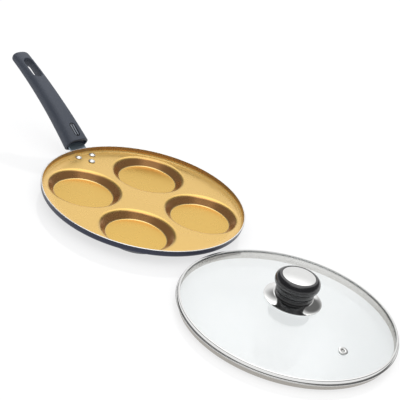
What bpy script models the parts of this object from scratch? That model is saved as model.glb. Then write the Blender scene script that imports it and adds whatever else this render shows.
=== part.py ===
"""Four-cup egg pan with a riveted handle, and its loose glass lid lying beside it.

Run with: blender --background --python part.py
Metres, +Z up. The pan stands on its four cup bottoms and the lid on the lower edge of its steel rim, both
at z = 0. The handle points along -X, the lid lies on the +X side, and the whole outline is centred on the
origin.
"""
import math

import bmesh
import bpy
from mathutils import Matrix, Vector

# Clearances
CLEAR = 0.0003            # between two pieces that touch on the real object
SINK = 0.0010             # how far a cutter runs past the skin that it cuts
EDGE_BREAK = 0.0004       # small chamfer on rolled, turned and ground edges

# Pressed aluminium body
RIM_RADIUS = 0.130
SHEET = 0.0016
RIM_EDGE_IN = 0.0003      # small chamfer on the inside of the faced rim
RIM_EDGE_OUT = 0.0008     # chamfer on the outside of the faced rim
WALL_FLARE = math.radians(8.0)
WALL_FOOT_FILLET = 0.0028
DECK_DEPTH = 0.0076       # from the rim down to the deck between the cups
CUP_COUNT = 4
CUP_WEB = 0.0058          # least deck between two neighbouring cups
CUP_TO_WALL = 0.0003      # flat deck left between a cup's mouth and the foot of the wall
CUP_DEPTH = 0.0090
CUP_WALL_RUN = 0.0131     # how much smaller a cup's floor is than its mouth, on the radius
CUP_MOUTH_FILLET = 0.0080
CUP_FLOOR_FILLET = 0.0025
CUP_BOTTOM_SHEET = 0.0020
CUP_CROSSING = 95.0       # degrees; a mouth's fillet stops short of lying flat, so its edge cuts the deck cleanly

# Rivets through the deck
RIVET_OVER_FILLET = 0.0006  # how far the outer pair's heads reach over the foot of the wall
RIVET_PAIR_SPREAD = 0.0224
RIVET_INNER_BACK = 0.0139 # inner rivet, in from the outer pair
RIVET_SHANK_RADIUS = 0.0023
RIVET_HEAD_LIP = 0.0022   # head beyond the shank, on the radius
RIVET_HEAD_HEIGHT = 0.0020
RIVET_TAIL_LIP = 0.0011   # tail beyond the shank, on the radius
RIVET_TAIL_HEIGHT = 0.0014

# Steel bracket under the deck, and its tang inside the grip
BRACKET_SHEET = 0.0022
BRACKET_FOOT_MARGIN = 0.0062
BRACKET_NECK_WIDTH = 0.0250
BRACKET_NECK_FLARE = 0.0012
BRACKET_BEND_OUT = 0.0022 # how far past the foot of the wall the bracket turns up
BRACKET_BEND_RUN = 0.0040
TANG_WIDTH = 0.0200
TANG_LENGTH = 0.0440
TANG_DROP = 0.0019        # tang below the middle of the grip's end
TANG_TAPER = 0.0030       # narrowing of the tang at its far end
NECK_INSIDE = 0.0018      # how far the wide neck runs into the grip's end

# Moulded grip
GRIP_GAP = 0.0115         # from the rim to the middle of the grip's end face
GRIP_END_DROP = 0.0011    # middle of the end face below the rim
GRIP_REACH = 0.1508       # horizontal length
GRIP_START_SLOPE = math.radians(28.3)
GRIP_TIP_SLOPE = math.radians(15.8)
GRIP_WIDTHS = (0.0340, 0.0268, 0.0258)
GRIP_HEIGHTS = (0.0243, 0.0209, 0.0143)
GRIP_SQUARENESS = 2.5
GRIP_TIP_ROUND = 0.0080
GRIP_TIP_SQUARENESS = 3.2
GRIP_EDGE_ROUND = 0.0012
GRIP_END_HOLLOW = 0.0032  # depth of the hollow in the end face
GRIP_END_WALL = 0.0024
SLOT_FROM_TIP = 0.0331    # middle of the hanging slot, level distance from the tip
SLOT_LENGTH = 0.0360
SLOT_WIDTH = 0.0130
RECESS_FROM_END = 0.0147  # middle of the inlay's recess, level distance from the end face
RECESS_LENGTH = 0.0215
RECESS_WIDTH = 0.0084
RECESS_DEPTH = 0.0020
INLAY_THICKNESS = 0.0009
INLAY_RIB_COUNT = 2
INLAY_RIB_WIDTH = 0.0011
INLAY_RIB_HEIGHT = 0.0005
INLAY_RIB_PITCH = 0.0035

# Screw that holds the grip on the tang
GRIP_SCREW_INSET = 0.0190 # from the far end of the tang
GRIP_SCREW_RADIUS = 0.0019
GRIP_SCREW_HEAD_RADIUS = 0.0036
GRIP_SCREW_HEAD_HEIGHT = 0.0024
GRIP_SCREW_SEAT = 0.0055  # seat of the head below the middle of the tang
GRIP_SCREW_TIP = 0.0042   # above the middle of the tang
SCREW_DRIVE_RADIUS = 0.0015
SCREW_DRIVE_DEPTH = 0.0011

# Glass lid in its steel rim
LID_GAP = 0.0020          # between the two rims, seen from above
LID_FIT = 0.0004          # between the skirt and the inside of the pan's wall
LID_SKIRT_SHEET = 0.0008
LID_SKIRT_TO_DECK = 0.0006  # under the skirt when the lid is on the pan
LID_LIP_THICKNESS = 0.0014
LID_BEAD = 0.0003
RIM_HOOK_REACH = 0.0018   # how far the rim's top edge reaches in over the glass
RIM_SHEET = 0.0007
GLASS_THICKNESS = 0.0032
GLASS_EDGE_INSET = 0.0026
GLASS_RISE = 0.0190
GLASS_HOLE_RADIUS = 0.0052
VENT_FROM_EDGE = 0.0364   # middle of the vent, in from the glass's edge
VENT_BEARING = math.radians(-6.0)
VENT_BORE = 0.0017
VENT_BARREL_WALL = 0.0013
VENT_FLANGE_LIP = 0.0026  # flange beyond the barrel, on the radius
VENT_FLANGE_HEIGHT = 0.0009
VENT_TAIL_LIP = 0.0015    # tail beyond the barrel, on the radius
VENT_TAIL_HEIGHT = 0.0006

# Knob stack on the lid
KNOB_HEIGHT = 0.0252
KNOB_BULGE_RADIUS = 0.0263
KNOB_CROWN_WIDTH = 0.0069 # from the bulge in to the cap
KNOB_CROWN_HEIGHT = 0.0072
KNOB_SWELL_WIDTH = 0.0041 # from the neck out to the bulge
KNOB_SWELL_HEIGHT = 0.0065
KNOB_GROOVE = 0.0006
KNOB_CAP_THICKNESS = 0.0010
KNOB_CAP_DOME = 0.0011
KNOB_SKIRT_REACH = 0.0116 # polished rose beyond the knob's neck
KNOB_SKIRT_SHEET = 0.0008
KNOB_SKIRT_HOLLOW = 1.25  # 1 is a straight cone, more is hollowed like a trumpet's mouth
INSERT_RADIUS = 0.0042
INSERT_LENGTH = 0.0110
KNOB_SCREW_RADIUS = 0.0020
KNOB_SCREW_SHORT = 0.0025 # screw's tip below the insert's top
KNOB_SCREW_HEAD_RADIUS = 0.0050
KNOB_SCREW_HEAD_HEIGHT = 0.0026
KNOB_SCREW_HEAD_ROUND = 0.0012
WASHER_RADIUS = 0.0090
WASHER_THICKNESS = 0.0010
LOWER_GASKET_RADIUS = 0.0100
LOWER_GASKET_THICKNESS = 0.0014
UPPER_GASKET_RADIUS = 0.0125
UPPER_GASKET_THICKNESS = 0.0023

# Facets round a full turn
WIDE_STEPS = 60
CUP_STEPS = 36
KNOB_STEPS = 32
SMALL_STEPS = 16
GRIP_STEPS = 20
GRIP_BANDS = 9
FOOT_BANDS = 4
GLASS_BANDS = 4
SKIRT_BANDS = 3

# Sizes that follow
RIM_Z = DECK_DEPTH + CUP_DEPTH + CUP_BOTTOM_SHEET
DECK_Z = CUP_DEPTH + CUP_BOTTOM_SHEET
FLOOR_Z = CUP_BOTTOM_SHEET
DECK_UNDER_Z = DECK_Z - SHEET
WALL_FOOT_RADIUS = (
    RIM_RADIUS
    - SHEET / math.cos(WALL_FLARE)
    - (DECK_DEPTH - WALL_FOOT_FILLET * (1 - math.sin(WALL_FLARE))) * math.tan(WALL_FLARE)
    - WALL_FOOT_FILLET * math.cos(WALL_FLARE)
)
CUP_SPREAD = math.sin(math.pi / CUP_COUNT)
CUP_MOUTH_RADIUS = ((WALL_FOOT_RADIUS - CUP_TO_WALL) * CUP_SPREAD - CUP_WEB / 2) / (1 + CUP_SPREAD)
CUP_FLOOR_RADIUS = CUP_MOUTH_RADIUS - CUP_WALL_RUN
CUP_PITCH_RADIUS = WALL_FOOT_RADIUS - CUP_TO_WALL - CUP_MOUTH_RADIUS
RIVET_HEAD_RADIUS = RIVET_SHANK_RADIUS + RIVET_HEAD_LIP
RIVET_TAIL_RADIUS = RIVET_SHANK_RADIUS + RIVET_TAIL_LIP
RIVET_RING = WALL_FOOT_RADIUS + RIVET_OVER_FILLET - RIVET_HEAD_RADIUS
RIVET_PAIR_X = math.sqrt(RIVET_RING ** 2 - (RIVET_PAIR_SPREAD / 2) ** 2)
RIVET_INNER_X = RIVET_PAIR_X - RIVET_INNER_BACK
BRACKET_FOOT_Z = DECK_UNDER_Z - CLEAR - BRACKET_SHEET / 2
GRIP_START = RIM_RADIUS + GRIP_GAP
GRIP_START_Z = RIM_Z - GRIP_END_DROP
GRIP_START_RISE = math.tan(GRIP_START_SLOPE)
GRIP_RISE_CHANGE = math.tan(GRIP_TIP_SLOPE) - GRIP_START_RISE
SLOT_AT = 1 - SLOT_FROM_TIP / GRIP_REACH
RECESS_AT = RECESS_FROM_END / GRIP_REACH
TANG_Z = GRIP_START_Z - TANG_DROP
TANG_SHARE = TANG_LENGTH * math.cos(GRIP_START_SLOPE) / GRIP_REACH
TANG_SLOPE = math.atan(GRIP_START_RISE + GRIP_RISE_CHANGE * TANG_SHARE / 2)
LID_RADIUS = RIM_RADIUS
LID_SKIRT_HEIGHT = DECK_DEPTH - LID_SKIRT_TO_DECK
SKIRT_BESIDE_FILLET = max(WALL_FOOT_FILLET - LID_SKIRT_TO_DECK, 0.0)
LID_SKIRT_RADIUS = WALL_FOOT_RADIUS - LID_FIT + math.sqrt(WALL_FOOT_FILLET ** 2 - SKIRT_BESIDE_FILLET ** 2)
LIP_TOP_Z = LID_SKIRT_HEIGHT + LID_LIP_THICKNESS
GLASS_SHELF_Z = LID_SKIRT_HEIGHT + RIM_SHEET
GLASS_EDGE_RADIUS = LID_RADIUS - GLASS_EDGE_INSET
GLASS_BALL = (GLASS_EDGE_RADIUS ** 2 + GLASS_RISE ** 2) / (2 * GLASS_RISE)
GLASS_CENTRE_Z = GLASS_SHELF_Z + CLEAR - math.sqrt(
    (GLASS_BALL - GLASS_THICKNESS) ** 2 - GLASS_EDGE_RADIUS ** 2
)
GLASS_TOP_Z = GLASS_CENTRE_Z + GLASS_BALL
VENT_RADIUS_OUT = GLASS_EDGE_RADIUS - VENT_FROM_EDGE
VENT_BARREL = VENT_BORE + VENT_BARREL_WALL
VENT_FLANGE = VENT_BARREL + VENT_FLANGE_LIP
VENT_TAIL = VENT_BARREL + VENT_TAIL_LIP
KNOB_NECK_RADIUS = KNOB_BULGE_RADIUS - KNOB_SWELL_WIDTH
KNOB_CAP_RADIUS = KNOB_BULGE_RADIUS - KNOB_CROWN_WIDTH
KNOB_SKIRT_RADIUS = KNOB_NECK_RADIUS + KNOB_SKIRT_REACH
SKIRT_TOP_Z = GLASS_TOP_Z + CLEAR + UPPER_GASKET_THICKNESS + CLEAR + KNOB_SKIRT_SHEET
KNOB_SEAT_Z = SKIRT_TOP_Z + CLEAR
LID_OFFSET = RIM_RADIUS + LID_GAP + LID_RADIUS


# Helpers

def finish(name, colour, metallic, roughness, transmission=0.0):
    """A Principled BSDF material of one plain finish."""
    material = bpy.data.materials.new(name)
    material.use_nodes = True
    shader = material.node_tree.nodes["Principled BSDF"]
    shader.inputs["Base Color"].default_value = (*colour, 1.0)
    shader.inputs["Metallic"].default_value = metallic
    shader.inputs["Roughness"].default_value = roughness
    shader.inputs["Transmission Weight"].default_value = transmission
    material.diffuse_color = (*colour, 1.0)
    return material


def arc(centre, radius, start, end, steps):
    """Points of an arc in a (radius, height) section, angles in radians."""
    return [
        (
            centre[0] + radius * math.cos(start + (end - start) * k / steps),
            centre[1] + radius * math.sin(start + (end - start) * k / steps),
        )
        for k in range(steps + 1)
    ]


def turned(section, steps, ring=False):
    """Spin a (radius, height) section about Z. A ring section is closed on itself, others get flat caps."""
    bm = bmesh.new()
    verts = [bm.verts.new((radius, 0.0, height)) for radius, height in section]
    edges = [bm.edges.new(pair) for pair in zip(verts, verts[1:])]
    if ring:
        edges.append(bm.edges.new((verts[-1], verts[0])))
    bmesh.ops.spin(
        bm, geom=verts + edges, axis=(0, 0, 1), cent=(0, 0, 0), dvec=(0, 0, 0),
        angle=math.tau, steps=steps, use_merge=True, use_duplicate=False,
    )
    bmesh.ops.remove_doubles(bm, verts=bm.verts[:], dist=1e-7)
    if not ring:
        rims = [edge for edge in bm.edges if edge.is_boundary]
        bmesh.ops.holes_fill(bm, edges=rims, sides=0)
    bmesh.ops.recalc_face_normals(bm, faces=bm.faces[:])
    return bm


def lofted(rings):
    """Skin a row of rings that have as many points each, and close both ends."""
    bm = bmesh.new()
    loops = []
    for ring in rings:
        verts = [bm.verts.new(point) for point in ring]
        loops.append([bm.edges.new((verts[k - 1], verts[k])) for k in range(len(verts))])
    for low, high in zip(loops, loops[1:]):
        bmesh.ops.bridge_loops(bm, edges=low + high)
    bmesh.ops.holes_fill(bm, edges=loops[0], sides=0)
    bmesh.ops.holes_fill(bm, edges=loops[-1], sides=0)
    bmesh.ops.recalc_face_normals(bm, faces=bm.faces[:])
    return bm


def stadium(length, width, steps=8):
    """Outline of a slot with round ends, in its own plane."""
    radius = width / 2
    half = length / 2 - radius
    right = arc((half, 0.0), radius, -math.pi / 2, math.pi / 2, steps)
    left = arc((-half, 0.0), radius, math.pi / 2, 3 * math.pi / 2, steps)
    return right + left


def prism(outline, low, high):
    """A straight block of an outline between two heights."""
    return lofted([[(x, y, z) for x, y in outline] for z in (low, high)])


def piece(name, bm, material, parent, place=None):
    """Turn a bmesh into a named object, shaded smooth except at its real edges."""
    mesh = bpy.data.meshes.new(name)
    bm.to_mesh(mesh)
    bm.free()
    mesh.shade_smooth()
    mesh.set_sharp_from_angle(angle=math.radians(35.0))
    mesh.materials.append(material)
    obj = bpy.data.objects.new(name, mesh)
    bpy.context.scene.collection.objects.link(obj)
    obj.parent = parent
    if place is not None:
        obj.matrix_local = place
    return obj


def tool(name, bm, parent, place=None):
    """A cutter or an addition that is only a guide for a Boolean."""
    obj = piece(name, bm, GUIDE, parent, place)
    obj.hide_render = True
    obj.display_type = "WIRE"
    return obj


def boolean(target, other, operation):
    """Cut or join two objects with the exact solver."""
    modifier = target.modifiers.new(f"{operation.lower()} {other.name}", "BOOLEAN")
    modifier.operation = operation
    modifier.solver = "EXACT"
    modifier.object = other


def axis_empty(name):
    """An empty that carries one group of pieces on its upright axis."""
    empty = bpy.data.objects.new(name, None)
    bpy.context.scene.collection.objects.link(empty)
    return empty


def cup_places():
    """Placements of the cups, spread evenly, with the handle's line halfway between two of them."""
    return [
        Matrix.Rotation(math.pi + math.tau * (k + 0.5) / CUP_COUNT, 4, "Z")
        @ Matrix.Translation((CUP_PITCH_RADIUS, 0, 0))
        for k in range(CUP_COUNT)
    ]


# Body of the pan

def dish_section():
    """Wall and deck without cups: up the inside from the axis, over the rim and back under the deck."""
    foot = (WALL_FOOT_RADIUS, DECK_Z + WALL_FOOT_FILLET)
    inner = arc(foot, WALL_FOOT_FILLET, -math.pi / 2, -WALL_FLARE, 3)
    outer = arc(foot, WALL_FOOT_FILLET + SHEET, -WALL_FLARE, -math.pi / 2, 3)
    inner_rim = RIM_RADIUS - SHEET / math.cos(WALL_FLARE)
    rim = [
        (inner_rim - RIM_EDGE_IN * math.tan(WALL_FLARE), RIM_Z - RIM_EDGE_IN),
        (inner_rim + RIM_EDGE_IN, RIM_Z),
        (RIM_RADIUS - RIM_EDGE_OUT, RIM_Z),
        (RIM_RADIUS, RIM_Z - RIM_EDGE_OUT),
    ]
    return [(0.0, DECK_Z)] + inner + rim + outer + [(0.0, DECK_UNDER_Z)]


def cup_wall_lean():
    """Lean of the straight wall that is tangent to the fillets at a cup's mouth and floor."""
    down = CUP_DEPTH - CUP_MOUTH_FILLET - CUP_FLOOR_FILLET
    fillets = CUP_MOUTH_FILLET + CUP_FLOOR_FILLET
    straight = math.sqrt(CUP_WALL_RUN ** 2 + down ** 2 - fillets ** 2)
    return math.atan2(CUP_WALL_RUN, down) - math.atan2(fillets, straight)


def cup_cutter_section():
    """Inside of a cup, from a little above the deck down to the cup's floor."""
    lean = cup_wall_lean()
    crossing = math.radians(CUP_CROSSING)
    mouth = arc(
        (CUP_MOUTH_RADIUS, DECK_Z - CUP_MOUTH_FILLET), CUP_MOUTH_FILLET, crossing, math.pi - lean, 3
    )
    floor = arc(
        (CUP_FLOOR_RADIUS, FLOOR_Z + CUP_FLOOR_FILLET), CUP_FLOOR_FILLET, -lean, -math.pi / 2, 2
    )
    top = [(0.0, DECK_Z + SINK), (mouth[0][0], DECK_Z + SINK)]
    return top + mouth + floor + [(0.0, FLOOR_Z)]


def cup_boss_section():
    """Outside of a cup, from inside the deck's thickness down to the flat that it stands on."""
    lean = cup_wall_lean()
    under = (CUP_MOUTH_RADIUS, DECK_Z - CUP_MOUTH_FILLET)
    shoulder = max(CUP_MOUTH_FILLET - SHEET, EDGE_BREAK)
    mouth = arc(under, shoulder, math.radians(CUP_CROSSING), math.pi - lean, 3)
    fillet = CUP_FLOOR_FILLET + SHEET
    floor = arc((CUP_FLOOR_RADIUS, fillet), fillet, -lean, -math.pi / 2, 2)
    top_z = DECK_Z - SHEET / 2
    return [(0.0, top_z), (mouth[0][0], top_z)] + mouth + floor + [(0.0, 0.0)]


def rivet_spots():
    """Where the three rivets stand, by name."""
    return {
        "rivet_inner": (-RIVET_INNER_X, 0.0),
        "rivet_left": (-RIVET_PAIR_X, RIVET_PAIR_SPREAD / 2),
        "rivet_right": (-RIVET_PAIR_X, -RIVET_PAIR_SPREAD / 2),
    }


def rivet_hole(name, spot, parent):
    """Guide for the hole of one rivet, through deck and bracket."""
    low = BRACKET_FOOT_Z - BRACKET_SHEET / 2 - SINK
    hole = turned(
        [(0.0, DECK_Z + SINK), (RIVET_SHANK_RADIUS + CLEAR, DECK_Z + SINK),
         (RIVET_SHANK_RADIUS + CLEAR, low), (0.0, low)],
        SMALL_STEPS,
    )
    return tool(name + "_hole", hole, parent, Matrix.Translation((*spot, 0.0)))


def make_pan_body(parent, holes):
    body = piece("pan_body", turned(dish_section(), WIDE_STEPS), COATED_ALUMINIUM, parent)
    places = cup_places()
    for number, place in enumerate(places, 1):
        boss = tool(f"cup_boss_{number}", turned(cup_boss_section(), CUP_STEPS), parent, place)
        boolean(body, boss, "UNION")
    for number, place in enumerate(places, 1):
        cup = tool(f"cup_cutter_{number}", turned(cup_cutter_section(), CUP_STEPS), parent, place)
        boolean(body, cup, "DIFFERENCE")
    for hole in holes:
        boolean(body, hole, "DIFFERENCE")
    return body


def make_rivet(name, spot, parent):
    """Domed head on the deck, shank through both sheets, pressed tail below."""
    seat = DECK_Z + CLEAR
    tail = BRACKET_FOOT_Z - BRACKET_SHEET / 2 - CLEAR
    head = [
        (RIVET_HEAD_RADIUS * math.cos(angle), seat + RIVET_HEAD_HEIGHT * math.sin(angle))
        for angle in (math.radians(90.0 - 22.5 * k) for k in range(5))
    ]
    section = head + [
        (RIVET_SHANK_RADIUS, seat),
        (RIVET_SHANK_RADIUS, tail),
        (RIVET_TAIL_RADIUS, tail),
        (RIVET_TAIL_RADIUS - EDGE_BREAK, tail - RIVET_TAIL_HEIGHT),
        (0.0, tail - RIVET_TAIL_HEIGHT),
    ]
    place = Matrix.Translation((*spot, 0.0))
    return piece(name, turned(section, SMALL_STEPS), BARE_ALUMINIUM, parent, place)


# Grip, bracket and what holds them together

def three_point(share, values):
    """Smooth value along the grip from its end, middle and tip values."""
    start, middle, tip = values
    return (
        start * (1 - share) * (1 - 2 * share)
        + middle * 4 * share * (1 - share)
        + tip * share * (2 * share - 1)
    )


def grip_frame(share):
    """Placement on the grip's spine: local X runs to the tip, Z stands up from the grip."""
    rise = GRIP_REACH * (GRIP_START_RISE * share + GRIP_RISE_CHANGE * share ** 2 / 2)
    spot = Vector((-(GRIP_START + GRIP_REACH * share), 0.0, GRIP_START_Z + rise))
    slope = math.atan(GRIP_START_RISE + GRIP_RISE_CHANGE * share)
    turn = Matrix.Rotation(math.pi, 4, "Z") @ Matrix.Rotation(-slope, 4, "Y")
    return Matrix.Translation(spot) @ turn


def oval(half_width, half_height):
    """Points of a rounded oval, between an ellipse and a rectangle."""
    power = 2 / GRIP_SQUARENESS
    points = []
    for k in range(GRIP_STEPS):
        angle = math.tau * k / GRIP_STEPS
        across = math.copysign(abs(math.cos(angle)) ** power, math.cos(angle))
        up = math.copysign(abs(math.sin(angle)) ** power, math.sin(angle))
        points.append((across * half_width, up * half_height))
    return points


def grip_ring(share, scale):
    """One cross-section of the grip."""
    width = three_point(share, GRIP_WIDTHS) / 2 * scale
    height = three_point(share, GRIP_HEIGHTS) / 2 * scale
    frame = grip_frame(share)
    return [frame @ Vector((0.0, across, up)) for across, up in oval(width, height)]


def grip_rings():
    """All cross-sections, drawn in at the end face and rounded at the tip."""
    rings = [grip_ring(0.0, 1 - 2 * GRIP_EDGE_ROUND / GRIP_HEIGHTS[0])]
    tip_start = 1 - GRIP_TIP_ROUND / GRIP_REACH
    first = GRIP_EDGE_ROUND / GRIP_REACH
    rings += [
        grip_ring(first + (tip_start - first) * k / GRIP_BANDS, 1.0) for k in range(GRIP_BANDS + 1)
    ]
    for part in (math.sin(math.radians(degrees)) for degrees in (20, 38, 55, 70, 80)):
        scale = (1 - part ** GRIP_TIP_SQUARENESS) ** (1 / GRIP_TIP_SQUARENESS)
        rings.append(grip_ring(tip_start + (1 - tip_start) * part, scale))
    return rings


def tang_frame():
    """Placement at the start of the tang: local X runs into the grip, Z is square to the strip."""
    turn = Matrix.Rotation(math.pi, 4, "Z") @ Matrix.Rotation(-TANG_SLOPE, 4, "Y")
    return Matrix.Translation((-GRIP_START, 0.0, TANG_Z)) @ turn


def strip_ring(spot, slope, half_width):
    """Cross-section of the bracket's strip, square to its run."""
    up = Vector((math.sin(slope), 0.0, math.cos(slope))) * (BRACKET_SHEET / 2)
    side = Vector((0.0, half_width, 0.0))
    return [spot + side + up, spot - side + up, spot - side - up, spot + side - up]


def bracket_rings():
    """The strip from the rounded foot under the deck, round the wall and into the grip."""
    rings = []
    foot_tip = RIVET_INNER_X - BRACKET_FOOT_MARGIN
    pair_half = RIVET_PAIR_SPREAD / 2 + BRACKET_FOOT_MARGIN
    for k in range(1, FOOT_BANDS + 1):
        angle = math.pi / 2 * k / FOOT_BANDS
        spot = Vector((-(RIVET_INNER_X - BRACKET_FOOT_MARGIN * math.cos(angle)), 0.0, BRACKET_FOOT_Z))
        rings.append(strip_ring(spot, 0.0, BRACKET_FOOT_MARGIN * math.sin(angle)))
    for part in (k / FOOT_BANDS for k in range(1, FOOT_BANDS + 1)):
        reach = RIVET_INNER_X + (RIVET_PAIR_X - RIVET_INNER_X) * part
        spot = Vector((-reach, 0.0, BRACKET_FOOT_Z))
        half = BRACKET_FOOT_MARGIN + (pair_half - BRACKET_FOOT_MARGIN) * math.sin(part * math.pi / 2)
        rings.append(strip_ring(spot, 0.0, half))
    bend = WALL_FOOT_RADIUS + BRACKET_BEND_OUT
    neck_end = tang_frame() @ Vector((NECK_INSIDE, 0.0, 0.0))
    rise = math.atan2(neck_end.z - BRACKET_FOOT_Z, -neck_end.x - bend)
    start = Vector((-bend, 0.0, BRACKET_FOOT_Z))
    rings.append(strip_ring(start, rise / 2, BRACKET_NECK_WIDTH / 2 + BRACKET_NECK_FLARE))
    direction = (neck_end - start).normalized()
    rings.append(strip_ring(start + direction * BRACKET_BEND_RUN, rise, BRACKET_NECK_WIDTH / 2))
    rings.append(strip_ring(neck_end, (rise + TANG_SLOPE) / 2, BRACKET_NECK_WIDTH / 2))
    along = (tang_frame() @ Vector((1, 0, 0)) - tang_frame() @ Vector((0, 0, 0))).normalized()
    rings.append(strip_ring(neck_end + along * EDGE_BREAK, TANG_SLOPE, TANG_WIDTH / 2))
    tang_end = tang_frame() @ Vector((TANG_LENGTH, 0.0, 0.0))
    rings.append(strip_ring(tang_end - along * TANG_TAPER, TANG_SLOPE, TANG_WIDTH / 2))
    rings.append(strip_ring(tang_end, TANG_SLOPE, TANG_WIDTH / 2 - TANG_TAPER))
    return rings


def grip_screw_section(extra, head_extra):
    """Section of the grip's screw about its own axis, or of the hole that it needs."""
    shank = GRIP_SCREW_RADIUS + extra
    head = GRIP_SCREW_HEAD_RADIUS + extra
    seat = -GRIP_SCREW_SEAT
    foot = seat - GRIP_SCREW_HEAD_HEIGHT - head_extra
    return [(0.0, GRIP_SCREW_TIP + extra), (shank, GRIP_SCREW_TIP + extra), (shank, seat), (head, seat),
            (head, foot), (0.0, foot)]


def make_handle(parent, holes):
    bracket = piece("handle_bracket", lofted(bracket_rings()), COATED_STEEL, parent)
    for hole in holes:
        boolean(bracket, hole, "DIFFERENCE")
    screw_axis = tang_frame() @ Matrix.Translation((TANG_LENGTH - GRIP_SCREW_INSET, 0.0, 0.0))
    tang_hole = turned(
        [(0.0, BRACKET_SHEET), (GRIP_SCREW_RADIUS + CLEAR, BRACKET_SHEET),
         (GRIP_SCREW_RADIUS + CLEAR, -BRACKET_SHEET), (0.0, -BRACKET_SHEET)],
        SMALL_STEPS,
    )
    boolean(bracket, tool("tang_hole", tang_hole, parent, screw_axis), "DIFFERENCE")

    grip = piece("handle_grip", lofted(grip_rings()), BLACK_MOULDING, parent)
    end = oval(GRIP_WIDTHS[0] / 2 - GRIP_END_WALL, GRIP_HEIGHTS[0] / 2 - GRIP_END_WALL)
    hollow = lofted([[(x, across, up) for across, up in end] for x in (-SINK, GRIP_END_HOLLOW)])
    boolean(grip, tool("end_hollow", hollow, parent, grip_frame(0.0)), "DIFFERENCE")
    half = (TANG_WIDTH / 2 + CLEAR, BRACKET_SHEET / 2 + CLEAR)
    mouth = -GRIP_HEIGHTS[0] / 2
    pocket = lofted([
        [(x, half[0], half[1]), (x, -half[0], half[1]), (x, -half[0], -half[1]), (x, half[0], -half[1])]
        for x in (mouth, TANG_LENGTH + CLEAR)
    ])
    boolean(grip, tool("tang_pocket", pocket, parent, tang_frame()), "DIFFERENCE")
    screw_hole = turned(grip_screw_section(CLEAR, GRIP_HEIGHTS[0]), SMALL_STEPS)
    boolean(grip, tool("grip_screw_hole", screw_hole, parent, screw_axis), "DIFFERENCE")
    slot_height = GRIP_HEIGHTS[1]
    slot = prism(stadium(SLOT_LENGTH, SLOT_WIDTH), -slot_height, slot_height)
    boolean(grip, tool("hanging_slot", slot, parent, grip_frame(SLOT_AT)), "DIFFERENCE")
    recess_floor = three_point(RECESS_AT, GRIP_HEIGHTS) / 2 - RECESS_DEPTH
    recess = prism(stadium(RECESS_LENGTH, RECESS_WIDTH), recess_floor, recess_floor + GRIP_HEIGHTS[0])
    boolean(grip, tool("inlay_recess", recess, parent, grip_frame(RECESS_AT)), "DIFFERENCE")

    make_inlay(parent, recess_floor + CLEAR)
    screw = grip_screw_section(0.0, 0.0)
    screw_piece = piece("handle_screw", turned(screw, SMALL_STEPS), BRIGHT_STEEL, parent, screw_axis)
    foot = screw[-1][1]
    drive = turned(
        [(0.0, foot + SCREW_DRIVE_DEPTH), (SCREW_DRIVE_RADIUS, foot + SCREW_DRIVE_DEPTH),
         (SCREW_DRIVE_RADIUS, foot - SINK), (0.0, foot - SINK)],
        6,
    )
    boolean(screw_piece, tool("handle_screw_drive", drive, parent, screw_axis), "DIFFERENCE")


def make_inlay(parent, floor):
    """Plate with lengthwise ribs, let into the top of the grip."""
    frame = grip_frame(RECESS_AT)
    length = RECESS_LENGTH - 2 * CLEAR
    width = RECESS_WIDTH - 2 * CLEAR
    plate = prism(stadium(length, width), floor, floor + INLAY_THICKNESS)
    inlay = piece("handle_inlay", plate, GREY_INLAY, parent, frame)
    for k in range(INLAY_RIB_COUNT):
        across = (k - (INLAY_RIB_COUNT - 1) / 2) * INLAY_RIB_PITCH
        rib_length = length - RECESS_WIDTH / 2 - abs(across)
        rib = prism(
            [(x, y + across) for x, y in stadium(rib_length, INLAY_RIB_WIDTH, 3)],
            floor + INLAY_THICKNESS / 2, floor + INLAY_THICKNESS + INLAY_RIB_HEIGHT,
        )
        boolean(inlay, tool(f"inlay_rib_{k + 1}", rib, parent, frame), "UNION")


# Lid

def glass_height(radius, drop=0.0):
    """Height of the glass above the table at a distance from its axis; drop gives the inner face."""
    return GLASS_CENTRE_Z + math.sqrt((GLASS_BALL - drop) ** 2 - radius ** 2)


def make_lid_glass(parent):
    """Domed tempered glass with ground edge, a centre hole and a vent hole."""
    radii = [
        GLASS_HOLE_RADIUS + (GLASS_EDGE_RADIUS - GLASS_HOLE_RADIUS) * k / GLASS_BANDS
        for k in range(GLASS_BANDS + 1)
    ]
    outer = [(radius, glass_height(radius)) for radius in radii]
    inner = [(radius, glass_height(radius, GLASS_THICKNESS)) for radius in reversed(radii)]
    outer[-1] = (GLASS_EDGE_RADIUS - EDGE_BREAK, glass_height(GLASS_EDGE_RADIUS - EDGE_BREAK))
    outer.append((GLASS_EDGE_RADIUS, glass_height(GLASS_EDGE_RADIUS) - EDGE_BREAK))
    glass = piece("lid_glass", turned(outer + inner, WIDE_STEPS, ring=True), CLEAR_GLASS, parent)
    hole = turned(
        [(0.0, GLASS_THICKNESS), (VENT_BARREL + CLEAR, GLASS_THICKNESS),
         (VENT_BARREL + CLEAR, -2 * GLASS_THICKNESS), (0.0, -2 * GLASS_THICKNESS)],
        SMALL_STEPS,
    )
    boolean(glass, tool("vent_hole", hole, parent, vent_frame()), "DIFFERENCE")


def vent_frame():
    """Placement on the outer face of the glass, square to the glass."""
    tilt = math.asin(VENT_RADIUS_OUT / GLASS_BALL)
    spot = Matrix.Translation((VENT_RADIUS_OUT, 0.0, glass_height(VENT_RADIUS_OUT)))
    return Matrix.Rotation(VENT_BEARING, 4, "Z") @ spot @ Matrix.Rotation(tilt, 4, "Y")


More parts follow.
